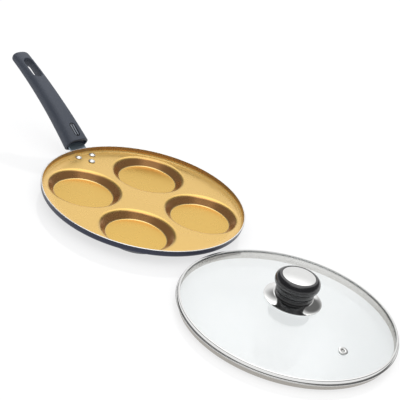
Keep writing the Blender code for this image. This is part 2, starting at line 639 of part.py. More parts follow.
def make_vent_eyelet(parent):
    """Rolled steel eyelet: flange on top, barrel through the glass, spread tail below."""
    tail = -GLASS_THICKNESS - CLEAR
    top = VENT_FLANGE_HEIGHT + CLEAR
    section = [
        (VENT_BORE, top - EDGE_BREAK),
        (VENT_BORE + EDGE_BREAK, top),
        (VENT_FLANGE - 2 * EDGE_BREAK, top),
        (VENT_FLANGE, CLEAR + EDGE_BREAK),
        (VENT_FLANGE - EDGE_BREAK, CLEAR),
        (VENT_BARREL, CLEAR),
        (VENT_BARREL, tail),
        (VENT_TAIL, tail),
        (VENT_TAIL - EDGE_BREAK, tail - VENT_TAIL_HEIGHT),
        (VENT_BORE, tail - VENT_TAIL_HEIGHT),
    ]
    piece("vent_eyelet", turned(section, SMALL_STEPS, ring=True), BRIGHT_STEEL, parent, vent_frame())


def make_lid_rim(parent):
    """Steel band: skirt that drops inside the pan, lip that rests on its rim, hook over the glass edge."""
    skirt_in = LID_SKIRT_RADIUS - LID_SKIRT_SHEET
    wall = GLASS_EDGE_RADIUS + CLEAR
    hook_in = GLASS_EDGE_RADIUS - RIM_HOOK_REACH
    hook_low = glass_height(hook_in) + CLEAR
    hook_top = hook_low + RIM_SHEET
    bead_z = LID_SKIRT_HEIGHT / 2
    section = [
        (skirt_in, 0.0),
        (LID_SKIRT_RADIUS, 0.0),
        (LID_SKIRT_RADIUS, bead_z - 2 * LID_BEAD),
        (LID_SKIRT_RADIUS + LID_BEAD, bead_z),
        (LID_SKIRT_RADIUS, bead_z + 2 * LID_BEAD),
        (LID_SKIRT_RADIUS, LID_SKIRT_HEIGHT),
        (LID_RADIUS - EDGE_BREAK, LID_SKIRT_HEIGHT),
        (LID_RADIUS, LID_SKIRT_HEIGHT + LID_LIP_THICKNESS / 2),
        (LID_RADIUS - EDGE_BREAK, LIP_TOP_Z),
        (wall + RIM_SHEET, LIP_TOP_Z),
        (wall + RIM_SHEET, hook_top - RIM_SHEET),
        (wall, hook_top),
        (hook_in, hook_top),
        (hook_in, hook_low),
        (wall, glass_height(GLASS_EDGE_RADIUS) + CLEAR),
        (wall, GLASS_SHELF_Z),
        (skirt_in, GLASS_SHELF_Z),
    ]
    piece("lid_rim", turned(section, WIDE_STEPS, ring=True), BRUSHED_STEEL, parent)


# Knob

def make_knob_skirt(parent):
    """Polished steel rose that spreads the knob's load on the glass."""
    edge_z = glass_height(KNOB_SKIRT_RADIUS) + CLEAR
    bore = KNOB_SCREW_RADIUS + CLEAR
    shoulder = KNOB_NECK_RADIUS + KNOB_SKIRT_SHEET
    outer = []
    for k in range(SKIRT_BANDS + 1):
        part = k / SKIRT_BANDS
        radius = shoulder + (KNOB_SKIRT_RADIUS - shoulder) * part
        rise = (1 - part) ** KNOB_SKIRT_HOLLOW
        low = edge_z + KNOB_SKIRT_SHEET
        outer.append((radius, low + (SKIRT_TOP_Z - low) * rise))
    inner = [(radius - KNOB_SKIRT_SHEET, height - KNOB_SKIRT_SHEET) for radius, height in outer]
    section = [(bore, SKIRT_TOP_Z)] + outer + [(KNOB_SKIRT_RADIUS, edge_z)]
    section += list(reversed(inner)) + [(bore, SKIRT_TOP_Z - KNOB_SKIRT_SHEET)]
    piece("knob_skirt", turned(section, KNOB_STEPS, ring=True), BRIGHT_STEEL, parent)


def make_knob_body(parent):
    """Black moulded knob: straight neck with a groove, swelling grip and a recess for its cap."""
    base = KNOB_SEAT_Z
    top = base + KNOB_HEIGHT
    bulge_z = top - KNOB_CROWN_HEIGHT
    neck = KNOB_NECK_RADIUS
    neck_z = bulge_z - KNOB_SWELL_HEIGHT
    groove_z = (base + neck_z) / 2
    bore = INSERT_RADIUS + CLEAR
    bore_top = base + INSERT_LENGTH + 2 * CLEAR
    recess = KNOB_CAP_RADIUS + CLEAR
    recess_z = top - KNOB_CAP_THICKNESS - CLEAR
    swell = [
        (neck + KNOB_SWELL_WIDTH * math.sin(angle), bulge_z - KNOB_SWELL_HEIGHT * math.cos(angle))
        for angle in (math.radians(degrees) for degrees in (20, 50, 90))
    ]
    crown_in = recess + 2 * EDGE_BREAK
    crown_run = KNOB_BULGE_RADIUS - crown_in
    crown = [
        (crown_in + crown_run * math.cos(angle), bulge_z + KNOB_CROWN_HEIGHT * math.sin(angle))
        for angle in (math.radians(degrees) for degrees in (30, 60, 90))
    ]
    section = [
        (bore, base),
        (neck - EDGE_BREAK, base),
        (neck, base + EDGE_BREAK),
        (neck, groove_z - KNOB_GROOVE),
        (neck - KNOB_GROOVE, groove_z),
        (neck, groove_z + KNOB_GROOVE),
        (neck, neck_z),
    ]
    section += swell + crown
    section += [(recess, top), (recess, recess_z), (0.0, recess_z)]
    section = [(0.0, bore_top), (bore, bore_top)] + section
    piece("knob_body", turned(section, KNOB_STEPS), BLACK_MOULDING, parent)


def make_knob_cap(parent):
    """Polished steel disc, slightly domed, let into the top of the knob."""
    low = KNOB_SEAT_Z + KNOB_HEIGHT - KNOB_CAP_THICKNESS
    high = low + KNOB_CAP_THICKNESS
    dome = [
        (KNOB_CAP_RADIUS * share, high + KNOB_CAP_DOME * (1 - share ** 2)) for share in (0.0, 0.4, 0.7, 0.9)
    ]
    section = dome + [
        (KNOB_CAP_RADIUS - EDGE_BREAK, high),
        (KNOB_CAP_RADIUS, high - EDGE_BREAK / 2),
        (KNOB_CAP_RADIUS, low),
        (0.0, low),
    ]
    piece("knob_cap", turned(section, KNOB_STEPS), BRIGHT_STEEL, parent)


def make_knob_fixings(parent):
    """Insert, screw, washer and the two gaskets that keep metal off the glass."""
    bore = KNOB_SCREW_RADIUS + CLEAR
    insert_low = KNOB_SEAT_Z + CLEAR
    insert_high = insert_low + INSERT_LENGTH
    insert = [
        (bore, insert_low), (INSERT_RADIUS, insert_low), (INSERT_RADIUS, insert_high), (bore, insert_high)
    ]
    piece("knob_insert", turned(insert, SMALL_STEPS, ring=True), BRASS, parent)

    upper_top = GLASS_TOP_Z + CLEAR + UPPER_GASKET_THICKNESS
    upper = [
        (bore, GLASS_TOP_Z + CLEAR),
        (UPPER_GASKET_RADIUS, GLASS_TOP_Z + CLEAR),
        (UPPER_GASKET_RADIUS, upper_top),
        (bore, upper_top),
    ]
    piece("upper_gasket", turned(upper, SMALL_STEPS, ring=True), CLEAR_SILICONE, parent)

    glass_low = glass_height(LOWER_GASKET_RADIUS, GLASS_THICKNESS) - CLEAR
    gasket_low = glass_low - LOWER_GASKET_THICKNESS
    collar = GLASS_HOLE_RADIUS - CLEAR
    lower = [
        (bore, gasket_low), (LOWER_GASKET_RADIUS, gasket_low), (LOWER_GASKET_RADIUS, glass_low),
        (collar, glass_low), (collar, GLASS_TOP_Z), (bore, GLASS_TOP_Z),
    ]
    piece("lower_gasket", turned(lower, SMALL_STEPS, ring=True), CLEAR_SILICONE, parent)

    washer_high = gasket_low - CLEAR
    washer_low = washer_high - WASHER_THICKNESS
    washer = [
        (bore, washer_low), (WASHER_RADIUS, washer_low), (WASHER_RADIUS, washer_high), (bore, washer_high)
    ]
    piece("knob_washer", turned(washer, SMALL_STEPS, ring=True), BRIGHT_STEEL, parent)

    seat = washer_low - CLEAR
    foot = seat - KNOB_SCREW_HEAD_HEIGHT
    tip = insert_high - KNOB_SCREW_SHORT
    screw = [
        (0.0, tip), (KNOB_SCREW_RADIUS, tip), (KNOB_SCREW_RADIUS, seat), (KNOB_SCREW_HEAD_RADIUS, seat),
        (KNOB_SCREW_HEAD_RADIUS, foot + KNOB_SCREW_HEAD_ROUND),
        (KNOB_SCREW_HEAD_RADIUS - KNOB_SCREW_HEAD_ROUND, foot), (0.0, foot),
    ]
    screw_piece = piece("knob_screw", turned(screw, SMALL_STEPS), BRIGHT_STEEL, parent)
    drive = turned(
        [(0.0, foot + SCREW_DRIVE_DEPTH), (SCREW_DRIVE_RADIUS, foot + SCREW_DRIVE_DEPTH),
         (SCREW_DRIVE_RADIUS, foot - SINK), (0.0, foot - SINK)],
        6,
    )
    boolean(screw_piece, tool("knob_screw_drive", drive, parent), "DIFFERENCE")


def centre_outline(pan, lid):
    """Slide both groups along X so that the whole outline is centred on the origin."""
    bpy.context.view_layer.update()
    lowest = min(
        (obj.matrix_world @ vertex.co).x
        for obj in bpy.data.objects if obj.type == "MESH" and not obj.hide_render
        for vertex in obj.data.vertices
    )
    highest = LID_OFFSET + LID_RADIUS
    shift = -(lowest + highest) / 2
    pan.location.x = shift
    lid.location.x = shift + LID_OFFSET
    print(f"pan axis x = {shift:.5f}, lid axis x = {shift + LID_OFFSET:.5f}, rim z = {RIM_Z:.5f}")


for old in list(bpy.data.objects):
    bpy.data.objects.remove(old, do_unlink=True)

GUIDE = finish("guide", (0.8, 0.2, 0.2), 0.0, 0.8)
COATED_ALUMINIUM = finish("gold_coated_aluminium", (0.72, 0.50, 0.20), 0.6, 0.35)
BARE_ALUMINIUM = finish("bare_aluminium", (0.86, 0.86, 0.85), 1.0, 0.28)
COATED_STEEL = finish("slate_coated_steel", (0.10, 0.13, 0.20), 0.3, 0.4)
BLACK_MOULDING = finish("charcoal_moulding", (0.055, 0.060, 0.072), 0.0, 0.42)
GREY_INLAY = finish("grey_inlay", (0.22, 0.24, 0.28), 0.2, 0.35)
BRIGHT_STEEL = finish("polished_steel", (0.80, 0.80, 0.80), 1.0, 0.10)
BRUSHED_STEEL = finish("brushed_steel", (0.66, 0.65, 0.63), 1.0, 0.30)
BRASS = finish("brass", (0.72, 0.55, 0.25), 1.0, 0.30)
CLEAR_SILICONE = finish("clear_silicone", (0.80, 0.82, 0.82), 0.0, 0.55)
CLEAR_GLASS = finish("clear_glass", (0.93, 0.97, 0.96), 0.0, 0.03, transmission=1.0)

pan_axis = axis_empty("pan_axis")
lid_axis = axis_empty("lid_axis")
rivet_holes = [rivet_hole(name, spot, pan_axis) for name, spot in rivet_spots().items()]
make_pan_body(pan_axis, rivet_holes)
for rivet_name, rivet_spot in rivet_spots().items():
    make_rivet(rivet_name, rivet_spot, pan_axis)
make_handle(pan_axis, rivet_holes)
make_lid_glass(lid_axis)
make_lid_rim(lid_axis)
make_vent_eyelet(lid_axis)
make_knob_skirt(lid_axis)
make_knob_body(lid_axis)
make_knob_cap(lid_axis)
make_knob_fixings(lid_axis)
centre_outline(pan_axis, lid_axis)
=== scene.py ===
# %% [markdown]
# # An egg pan and its glass lid
#
# This lesson dresses a finished construction model: a shallow pan with four egg cups, a riveted handle, and
# a glass lid that lies beside it. The construction gives the places and the outer sizes. Here each piece
# gets its fine surface and its finish: gold coating, bare rim, blue-grey outside, charcoal moulding,
# polished and satin steel, and glass.
#
# The construction model comes in as a fixed frame. Nothing in it is moved.

# %% Load the frame
import math

import bmesh
import bpy
from mathutils import Matrix, Vector
from mathutils.geometry import tessellate_polygon


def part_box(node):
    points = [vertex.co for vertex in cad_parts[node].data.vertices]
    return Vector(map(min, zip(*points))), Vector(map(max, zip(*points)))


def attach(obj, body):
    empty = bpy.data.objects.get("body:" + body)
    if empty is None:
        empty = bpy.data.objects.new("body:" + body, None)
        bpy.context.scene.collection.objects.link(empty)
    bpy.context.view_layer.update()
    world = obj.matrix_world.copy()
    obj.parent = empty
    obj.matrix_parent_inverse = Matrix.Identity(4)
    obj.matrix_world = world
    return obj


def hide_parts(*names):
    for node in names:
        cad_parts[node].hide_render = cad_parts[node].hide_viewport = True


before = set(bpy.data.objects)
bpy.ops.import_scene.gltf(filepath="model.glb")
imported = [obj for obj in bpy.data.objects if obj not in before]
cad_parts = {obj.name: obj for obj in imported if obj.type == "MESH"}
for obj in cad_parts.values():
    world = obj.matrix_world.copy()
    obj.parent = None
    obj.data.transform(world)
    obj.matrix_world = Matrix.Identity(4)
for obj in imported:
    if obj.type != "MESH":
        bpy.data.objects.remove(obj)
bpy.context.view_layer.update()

pan_low, pan_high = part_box("pan_body")
rim_low, rim_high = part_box("lid_rim")
glass_low, glass_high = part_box("lid_glass")
PAN_X = (pan_low.x + pan_high.x) / 2
LID_X = (rim_low.x + rim_high.x) / 2
RIM_RADIUS = (pan_high.x - pan_low.x) / 2
RIM_Z = pan_high.z
print(f"pan axis {PAN_X:.4f}, lid axis {LID_X:.4f}, rim radius {RIM_RADIUS:.4f}, rim height {RIM_Z:.4f}")

# %% [markdown]
# ## Camera
#
# The camera was fitted to the pan's rim and cups in the photograph, so it has a place, two angles and a
# roll. A camera could also be aimed with a Track To constraint, but a constraint can't give the roll. Here
# the rotation is a product of three plain turns.

# %% Camera
CAMERA_AT = Vector((0.9251, -1.0079, 0.7559))
CAMERA_AZIMUTH = math.radians(41.227)
CAMERA_ELEVATION = math.radians(27.342)
CAMERA_ROLL = math.radians(14.374)
CAMERA_LENS = 114.05

camera_data = bpy.data.cameras.new("photo_camera")
camera_data.lens = CAMERA_LENS
camera_data.sensor_width = 36.0
camera = bpy.data.objects.new("photo_camera", camera_data)
bpy.context.scene.collection.objects.link(camera)
camera_turn = (
    Matrix.Rotation(CAMERA_AZIMUTH, 4, "Z")
    @ Matrix.Rotation(math.pi / 2 - CAMERA_ELEVATION, 4, "X")
    @ Matrix.Rotation(CAMERA_ROLL, 4, "Z")
)
camera.matrix_world = Matrix.Translation(CAMERA_AT) @ camera_turn
bpy.context.scene.camera = camera
bpy.context.scene.view_settings.view_transform = "Standard"
print("camera looks along", (camera_turn @ Vector((0, 0, -1))).to_tuple(3))

# %% [markdown]
# ## Node helpers
#
# Every finish below is a small node tree. These helpers keep the trees readable: `add` makes a node and
# sets its properties, `new_group` makes a shader node group with named sockets, and `feed` links what the
# nodes worked out to the shader.

# %% Node helpers
def add(tree, kind, inputs=None, **properties):
    """Make a node, set its properties, then link or set its inputs by name or number."""
    made = tree.nodes.new(kind)
    for name, value in properties.items():
        setattr(made, name, value)
    for name, value in (inputs or {}).items():
        if isinstance(value, bpy.types.NodeSocket):
            tree.links.new(value, made.inputs[name])
        else:
            made.inputs[name].default_value = value
    return made


def maths(tree, operation, first, second=0.0):
    """One Math node's output."""
    return add(tree, "ShaderNodeMath", {0: first, 1: second}, operation=operation).outputs[0]


def levels(tree, mask, low, high):
    """A number that runs from low to high as a mask runs from 0 to 1."""
    return add(tree, "ShaderNodeMapRange", {"Value": mask, "To Min": low, "To Max": high}).outputs[0]


def blend_levels(tree, mask, first, second):
    """Mix two numbers by a mask."""
    return add(tree, "ShaderNodeMix", {0: mask, 2: first, 3: second}, data_type="FLOAT").outputs[0]


def blend_colours(tree, mask, first, second):
    """Mix two colours by a mask; each is a plain colour or comes from a node."""
    first, second = (c if isinstance(c, bpy.types.NodeSocket) else (*c, 1.0) for c in (first, second))
    return add(tree, "ShaderNodeMix", {0: mask, 6: first, 7: second}, data_type="RGBA").outputs[2]


def fade(tree, value, start, end, low=0.0, high=1.0):
    """Number that goes smoothly from low to high as a value goes from start to end."""
    inputs = {"Value": value, "From Min": start, "From Max": end, "To Min": low, "To Max": high}
    return add(tree, "ShaderNodeMapRange", inputs, interpolation_type="SMOOTHSTEP").outputs[0]


# %% Groups and materials
def new_group(name, inputs, outputs):
    """An empty shader node group; inputs and outputs map a socket's name to its kind and default."""
    group = bpy.data.node_groups.new(name, "ShaderNodeTree")
    for label, (kind, default) in inputs.items():
        socket = group.interface.new_socket(name=label, in_out="INPUT", socket_type=kind)
        socket.default_value = default
    for label, kind in outputs.items():
        group.interface.new_socket(name=label, in_out="OUTPUT", socket_type=kind)
    return group, group.nodes.new("NodeGroupInput"), group.nodes.new("NodeGroupOutput")


def use_group(tree, group, **values):
    """Place a group in a material with its own values; underscores in a name stand for spaces."""
    placed = add(tree, "ShaderNodeGroup", node_tree=group)
    for name, value in values.items():
        placed.inputs[name.replace("_", " ")].default_value = value
    return placed


def new_material(name, metallic=0.0, roughness=0.5, **plain):
    """A material with one Principled BSDF; plain values go straight to the shader's own sockets."""
    material = bpy.data.materials.new(name)
    material.use_nodes = True
    tree = material.node_tree
    shader = tree.nodes["Principled BSDF"]
    shader.inputs["Metallic"].default_value = metallic
    shader.inputs["Roughness"].default_value = roughness
    for label, value in plain.items():
        shader.inputs[label.replace("_", " ")].default_value = value
    return material, tree, shader


def feed(tree, shader, **varying):
    """Link what changes over the surface to the shader's own sockets."""
    for label, value in varying.items():
        tree.links.new(value, shader.inputs[label.replace("_", " ")])


def bump(tree, height, distance, strength):
    """A Bump node's normal, for a height between 0 and 1 that stands for a real distance."""
    inputs = {"Height": height, "Distance": distance, "Strength": strength}
    return add(tree, "ShaderNodeBump", inputs).outputs["Normal"]


# %% [markdown]
# ## Effects that several finishes share
#
# Four effects turn up again and again on cookware, so each is a node group that is built once:
#
# * mica flecks in a coating, as small cells of slightly unlike brightness;
# * handling marks, a soft cloudy change of gloss;
# * turning marks, fine rings about a piece's axis, as a lathe or a polishing wheel leaves them;
# * moulded grain, the fine matt texture of a mould's wall.
#
# All four read object coordinates, which here are metres in the model's own frame, so a scale is a real
# size.

# %% Group: mica flecks
fleck_group, given, result = new_group(
    "mica flecks",
    {"Fleck Size": ("NodeSocketFloat", 0.0006)},
    {"Shade": "NodeSocketFloat", "Height": "NodeSocketFloat"},
)
place = add(fleck_group, "ShaderNodeTexCoord").outputs["Object"]
per_metre = maths(fleck_group, "DIVIDE", 1.0, given.outputs["Fleck Size"])
cells = add(fleck_group, "ShaderNodeTexVoronoi", {"Vector": place, "Scale": per_metre})
grey = add(fleck_group, "ShaderNodeSeparateColor", {"Color": cells.outputs["Color"]})
PEEL_TO_FLECK = 0.35
peel_scale = maths(fleck_group, "MULTIPLY", per_metre, PEEL_TO_FLECK)
orange_peel = add(fleck_group, "ShaderNodeTexNoise", {"Vector": place, "Scale": peel_scale, "Detail": 2.0})
fleck_group.links.new(grey.outputs[0], result.inputs["Shade"])
fleck_group.links.new(orange_peel.outputs["Fac"], result.inputs["Height"])
print(fleck_group.name, "has", len(fleck_group.nodes), "nodes")

# %% Group: handling marks
handling_group, given, result = new_group(
    "handling marks",
    {"Mark Size": ("NodeSocketFloat", 0.03), "Softness": ("NodeSocketFloat", 0.2)},
    {"Amount": "NodeSocketFloat"},
)
place = add(handling_group, "ShaderNodeTexCoord").outputs["Object"]
per_metre = maths(handling_group, "DIVIDE", 1.0, given.outputs["Mark Size"])
clouds = add(
    handling_group, "ShaderNodeTexNoise",
    {"Vector": place, "Scale": per_metre, "Detail": 5.0, "Roughness": 0.6},
)
low_edge = maths(handling_group, "SUBTRACT", 0.5, given.outputs["Softness"])
high_edge = maths(handling_group, "ADD", 0.5, given.outputs["Softness"])
amount = add(
    handling_group, "ShaderNodeMapRange",
    {"Value": clouds.outputs["Fac"], "From Min": low_edge, "From Max": high_edge},
)
handling_group.links.new(amount.outputs[0], result.inputs["Amount"])
print(handling_group.name, "has", len(handling_group.nodes), "nodes")

# %% Group: turning marks
turning_group, given, result = new_group(
    "turning marks",
    {
        "Axis At": ("NodeSocketVector", (0.0, 0.0, 0.0)),
        "Pitch": ("NodeSocketFloat", 0.0004),
    },
    {"Height": "NodeSocketFloat", "Shade": "NodeSocketFloat"},
)
place = add(turning_group, "ShaderNodeTexCoord").outputs["Object"]
from_axis = add(
    turning_group, "ShaderNodeVectorMath", {0: place, 1: given.outputs["Axis At"]}, operation="SUBTRACT"
).outputs[0]
flat = add(turning_group, "ShaderNodeSeparateXYZ", {0: from_axis})
squares = [maths(turning_group, "POWER", flat.outputs[k], 2.0) for k in (0, 1)]
radius = maths(turning_group, "SQRT", maths(turning_group, "ADD", *squares))
lines = add(
    turning_group, "ShaderNodeCombineXYZ",
    {0: maths(turning_group, "DIVIDE", radius, given.outputs["Pitch"]),
     1: maths(turning_group, "DIVIDE", flat.outputs[2], given.outputs["Pitch"])},
)
rings = add(turning_group, "ShaderNodeTexNoise", {"Vector": lines.outputs[0], "Scale": 1.0, "Detail": 3.0})
turning_group.links.new(rings.outputs["Fac"], result.inputs["Height"])
WIDE_TO_FINE = 0.12
wide_lines = add(
    turning_group, "ShaderNodeVectorMath", {0: lines.outputs[0], 3: WIDE_TO_FINE}, operation="SCALE"
)
wide_rings = add(
    turning_group, "ShaderNodeTexNoise", {"Vector": wide_lines.outputs[0], "Scale": 1.0, "Detail": 2.0}
)
turning_group.links.new(wide_rings.outputs["Fac"], result.inputs["Shade"])
print(turning_group.name, "has", len(turning_group.nodes), "nodes")

# %% Group: moulded grain
grain_group, given, result = new_group(
    "moulded grain",
    {"Grain Size": ("NodeSocketFloat", 0.0005)},
    {"Height": "NodeSocketFloat"},
)
place = add(grain_group, "ShaderNodeTexCoord").outputs["Object"]
per_metre = maths(grain_group, "DIVIDE", 1.0, given.outputs["Grain Size"])
pits = add(grain_group, "ShaderNodeTexVoronoi", {"Vector": place, "Scale": per_metre})
swirl = add(grain_group, "ShaderNodeTexNoise", {"Vector": place, "Scale": per_metre, "Detail": 3.0})
both = maths(grain_group, "ADD", pits.outputs["Distance"], swirl.outputs["Fac"])
grain_group.links.new(maths(grain_group, "MULTIPLY", both, 0.5), result.inputs["Height"])
print(grain_group.name, "has", len(grain_group.nodes), "nodes")

# %% [markdown]
# ## Coatings
#
# The inside has a gold non-stick coating with mica in it: satin, warm, and nearly a metal in how it mirrors
# the room. The outside has a dark blue-grey coating, and the bracket a lighter one. A plain metallic colour
# would look like foil, so flecks change the colour from cell to cell and the skin has a faint orange peel.

# %% Coatings
PEEL_DEPTH = 0.00002
GOLD_METALLIC = 0.92


def coating(name, dark, light, metallic, roughness, fleck_size, peel):
    """A sprayed coating with mica flecks, a faint orange peel and a few handling marks."""
    material, tree, shader = new_material(name, metallic=metallic, Coat_Weight=0.12, Coat_Roughness=0.3)
    flecks = use_group(tree, fleck_group, Fleck_Size=fleck_size)
    marks = use_group(tree, handling_group, Mark_Size=0.045, Softness=0.25)
    feed(
        tree, shader,
        Base_Color=blend_colours(tree, flecks.outputs["Shade"], dark, light),
        Roughness=levels(tree, marks.outputs["Amount"], roughness - 0.02, roughness + 0.03),
        Normal=bump(tree, flecks.outputs["Height"], PEEL_DEPTH, peel),
    )
    return material


gold_coating = coating(
    "gold_coating", (0.765, 0.497, 0.147), (0.80, 0.53, 0.165),
    metallic=GOLD_METALLIC, roughness=0.27, fleck_size=0.0005, peel=0.06,
)
slate_coating = coating(
    "slate_coating", (0.014, 0.018, 0.046), (0.023, 0.030, 0.070),
    metallic=0.10, roughness=0.40, fleck_size=0.0006, peel=0.3,
)
neck_coating = coating(
    "neck_coating", (0.30, 0.38, 0.44), (0.35, 0.43, 0.49),
    metallic=0.80, roughness=0.34, fleck_size=0.0006, peel=0.3,
)
print("coatings:", gold_coating.name, slate_coating.name, neck_coating.name)

# %% [markdown]
# ## Bare metals
#
# The rim was faced on a lathe after coating, so it is bright with fine rings. The rivets are bare, and knob
# cap, rose and vent are polished. The lid's band is satin steel, rolled from strip.

# %% Bare metals
def bare_metal(name, dark, light, roughness, axis_at, pitch, depth):
    """Turned or polished metal with rings about an axis and faint handling marks."""
    material, tree, shader = new_material(name, metallic=1.0)
    rings = use_group(tree, turning_group, Axis_At=axis_at, Pitch=pitch)
    marks = use_group(tree, handling_group, Mark_Size=0.02, Softness=0.3)
    feed(
        tree, shader,
        Base_Color=blend_colours(tree, rings.outputs["Shade"], dark, light),
        Roughness=levels(tree, marks.outputs["Amount"], roughness * 0.8, roughness * 1.3),
        Normal=bump(tree, rings.outputs["Height"], depth, 0.6),
    )
    return material


PAN_AXIS = (PAN_X, 0.0, 0.0)
LID_AXIS = (LID_X, 0.0, 0.0)
bare_rim = bare_metal(
    "bare_rim", (0.93, 0.93, 0.92), (0.97, 0.97, 0.96),
    roughness=0.34, axis_at=PAN_AXIS, pitch=0.0002, depth=0.000004,
)
rivet_metal = bare_metal(
    "rivet_metal", (0.90, 0.90, 0.88), (0.95, 0.95, 0.93),
    roughness=0.30, axis_at=PAN_AXIS, pitch=0.0006, depth=0.000002,
)
polished_steel = bare_metal(
    "polished_steel", (0.80, 0.80, 0.79), (0.84, 0.84, 0.83),
    roughness=0.06, axis_at=LID_AXIS, pitch=0.0005, depth=0.000001,
)
satin_steel = bare_metal(
    "satin_steel", (0.44, 0.42, 0.39), (0.58, 0.55, 0.51),
    roughness=0.26, axis_at=LID_AXIS, pitch=0.0003, depth=0.000008,
)
screw_steel = bare_metal(
    "screw_steel", (0.62, 0.63, 0.64), (0.70, 0.71, 0.72),
    roughness=0.25, axis_at=LID_AXIS, pitch=0.0004, depth=0.000004,
)
turned_brass = bare_metal(
    "turned_brass", (0.60, 0.44, 0.18), (0.70, 0.53, 0.24),
    roughness=0.28, axis_at=LID_AXIS, pitch=0.0004, depth=0.000006,
)
print("materials so far:", len(bpy.data.materials))

# %% [markdown]
# ## Mouldings, gaskets and glass
#
# The grip is a charcoal moulding with a fine mould texture, and the knob is a glossier black. The gaskets
# are milky silicone. The glass is tempered soda-lime, clear with a slight cool tint.

# %% Mouldings and gaskets
def moulding(name, dark, light, roughness, grain, depth, coat=0.0):
    """Moulded plastic or rubber with a mould's grain and cloudy handling marks."""
    material, tree, shader = new_material(name, Coat_Weight=coat, Coat_Roughness=0.2)
    marks = use_group(tree, handling_group, Mark_Size=0.03, Softness=0.3)
    texture = use_group(tree, grain_group, Grain_Size=grain)
    feed(
        tree, shader,
        Base_Color=blend_colours(tree, marks.outputs["Amount"], dark, light),
        Roughness=levels(tree, marks.outputs["Amount"], roughness - 0.03, roughness + 0.04),
        Normal=bump(tree, texture.outputs["Height"], depth, 0.5),
    )
    return material


charcoal = moulding(
    "charcoal_moulding", (0.054, 0.065, 0.090), (0.064, 0.076, 0.104),
    roughness=0.52, grain=0.0005, depth=0.00003,
)
inlay_dark = moulding(
    "inlay_dark", (0.010, 0.012, 0.018), (0.014, 0.016, 0.024),
    roughness=0.30, grain=0.0004, depth=0.00001,
)
inlay_bright = moulding(
    "inlay_bright", (0.24, 0.27, 0.32), (0.30, 0.33, 0.38),
    roughness=0.28, grain=0.0004, depth=0.00001, coat=0.3,
)
knob_black = moulding(
    "knob_black", (0.008, 0.008, 0.010), (0.013, 0.013, 0.016),
    roughness=0.24, grain=0.0004, depth=0.000004, coat=0.6,
)
silicone = moulding(
    "silicone", (0.70, 0.72, 0.72), (0.78, 0.80, 0.80),
    roughness=0.50, grain=0.0006, depth=0.00001,
)
print("mouldings:", charcoal.name, inlay_dark.name, inlay_bright.name, knob_black.name, silicone.name)

# %% Clear glass
clear_glass, tree, shader = new_material("clear_glass", roughness=0.0, Transmission_Weight=1.0, IOR=1.50)
marks = use_group(tree, handling_group, Mark_Size=0.05, Softness=0.4)
feed(
    tree, shader,
    Base_Color=blend_colours(tree, marks.outputs["Amount"], (0.965, 0.995, 1.0), (0.98, 1.0, 1.0)),
    Roughness=levels(tree, marks.outputs["Amount"], 0.0, 0.015),
)
print("glass:", clear_glass.name)

# %% [markdown]
# ## Mesh helpers
#
# Most pieces are turned, so they come from a section: a list of (radius, height) points. Arcs in a section
# are worked out, never listed. Blender's Screw modifier could spin a section too, but rows of vertices made
# one by one can be shared with a neighbour, which is how the cups join the deck without a seam.

# %% Mesh helpers
def arc(centre, radius, start, end, steps, rise=None):
    """Points of an arc in a section, angles in degrees; a rise of its own makes it oval."""
    rise = radius if rise is None else rise
    points = []
    for k in range(steps + 1):
        angle = math.radians(start + (end - start) * k / steps)
        points.append((centre[0] + radius * math.cos(angle), centre[1] + rise * math.sin(angle)))
    return points


def spun_rows(bm, section, steps, axis=(0.0, 0.0)):
    """One row of vertices round an upright axis for each point of the section."""
    rows = []
    for radius, height in section:
        row = []
        for k in range(steps):
            angle = math.tau * k / steps
            spot = (axis[0] + radius * math.cos(angle), axis[1] + radius * math.sin(angle), height)
            row.append(bm.verts.new(spot))
        rows.append(row)
    return rows


def skin(bm, rows, material=0):
    """Quads between neighbouring rows of one length."""
    for low, high in zip(rows, rows[1:]):
        for k in range(len(low)):
            face = bm.faces.new((low[k - 1], low[k], high[k], high[k - 1]))
            face.material_index = material


def cap(bm, row, material=0):
    """One flat face that closes a row."""
    bm.faces.new(row).material_index = material


def flat_with_holes(bm, outline, holes, material=0):
    """Fill a flat area between an outline and the holes in it."""
    loops = [outline] + holes
    verts = [vert for loop in loops for vert in loop]
    for corners in tessellate_polygon([[vert.co for vert in loop] for loop in loops]):
        bm.faces.new([verts[k] for k in corners]).material_index = material


# %% Turned solids and finished pieces
def turned(section, steps, axis, ring=False, slots=None):
    """A turned solid. A ring section is closed on itself; another one starts and ends with a flat face."""
    bm = bmesh.new()
    rows = spun_rows(bm, section, steps, axis)
    if ring:
        rows.append(rows[0])
    for k, pair in enumerate(zip(rows, rows[1:])):
        skin(bm, pair, slots[k] if slots else 0)
    if not ring:
        cap(bm, rows[0], slots[0] if slots else 0)
        cap(bm, rows[-1], slots[-1] if slots else 0)
    return bm


def new_object(name, bm, materials=()):
    """Turn a finished mesh into an object in the scene."""
    mesh = bpy.data.meshes.new(name)
    bm.to_mesh(mesh)
    bm.free()
    for material in materials:
        mesh.materials.append(material)
    made = bpy.data.objects.new(name, mesh)
    bpy.context.scene.collection.objects.link(made)
    return made


def smooth(shown, sharp):
    """Smooth shading, except over edges that turn by more than an angle in degrees."""
    shown.data.shade_smooth()
    shown.data.set_sharp_from_angle(angle=math.radians(sharp))


def piece(name, bm, materials, body, nodes, sharp=40.0):
    """Finish a mesh as a shown piece that stands for construction nodes and rides on their body."""
    bmesh.ops.recalc_face_normals(bm, faces=bm.faces[:])
    shown = new_object(name, bm, materials)
    smooth(shown, sharp)
    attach(shown, body)
    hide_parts(*nodes)
    print(f"{name}: {len(shown.data.polygons)} faces")
    return shown


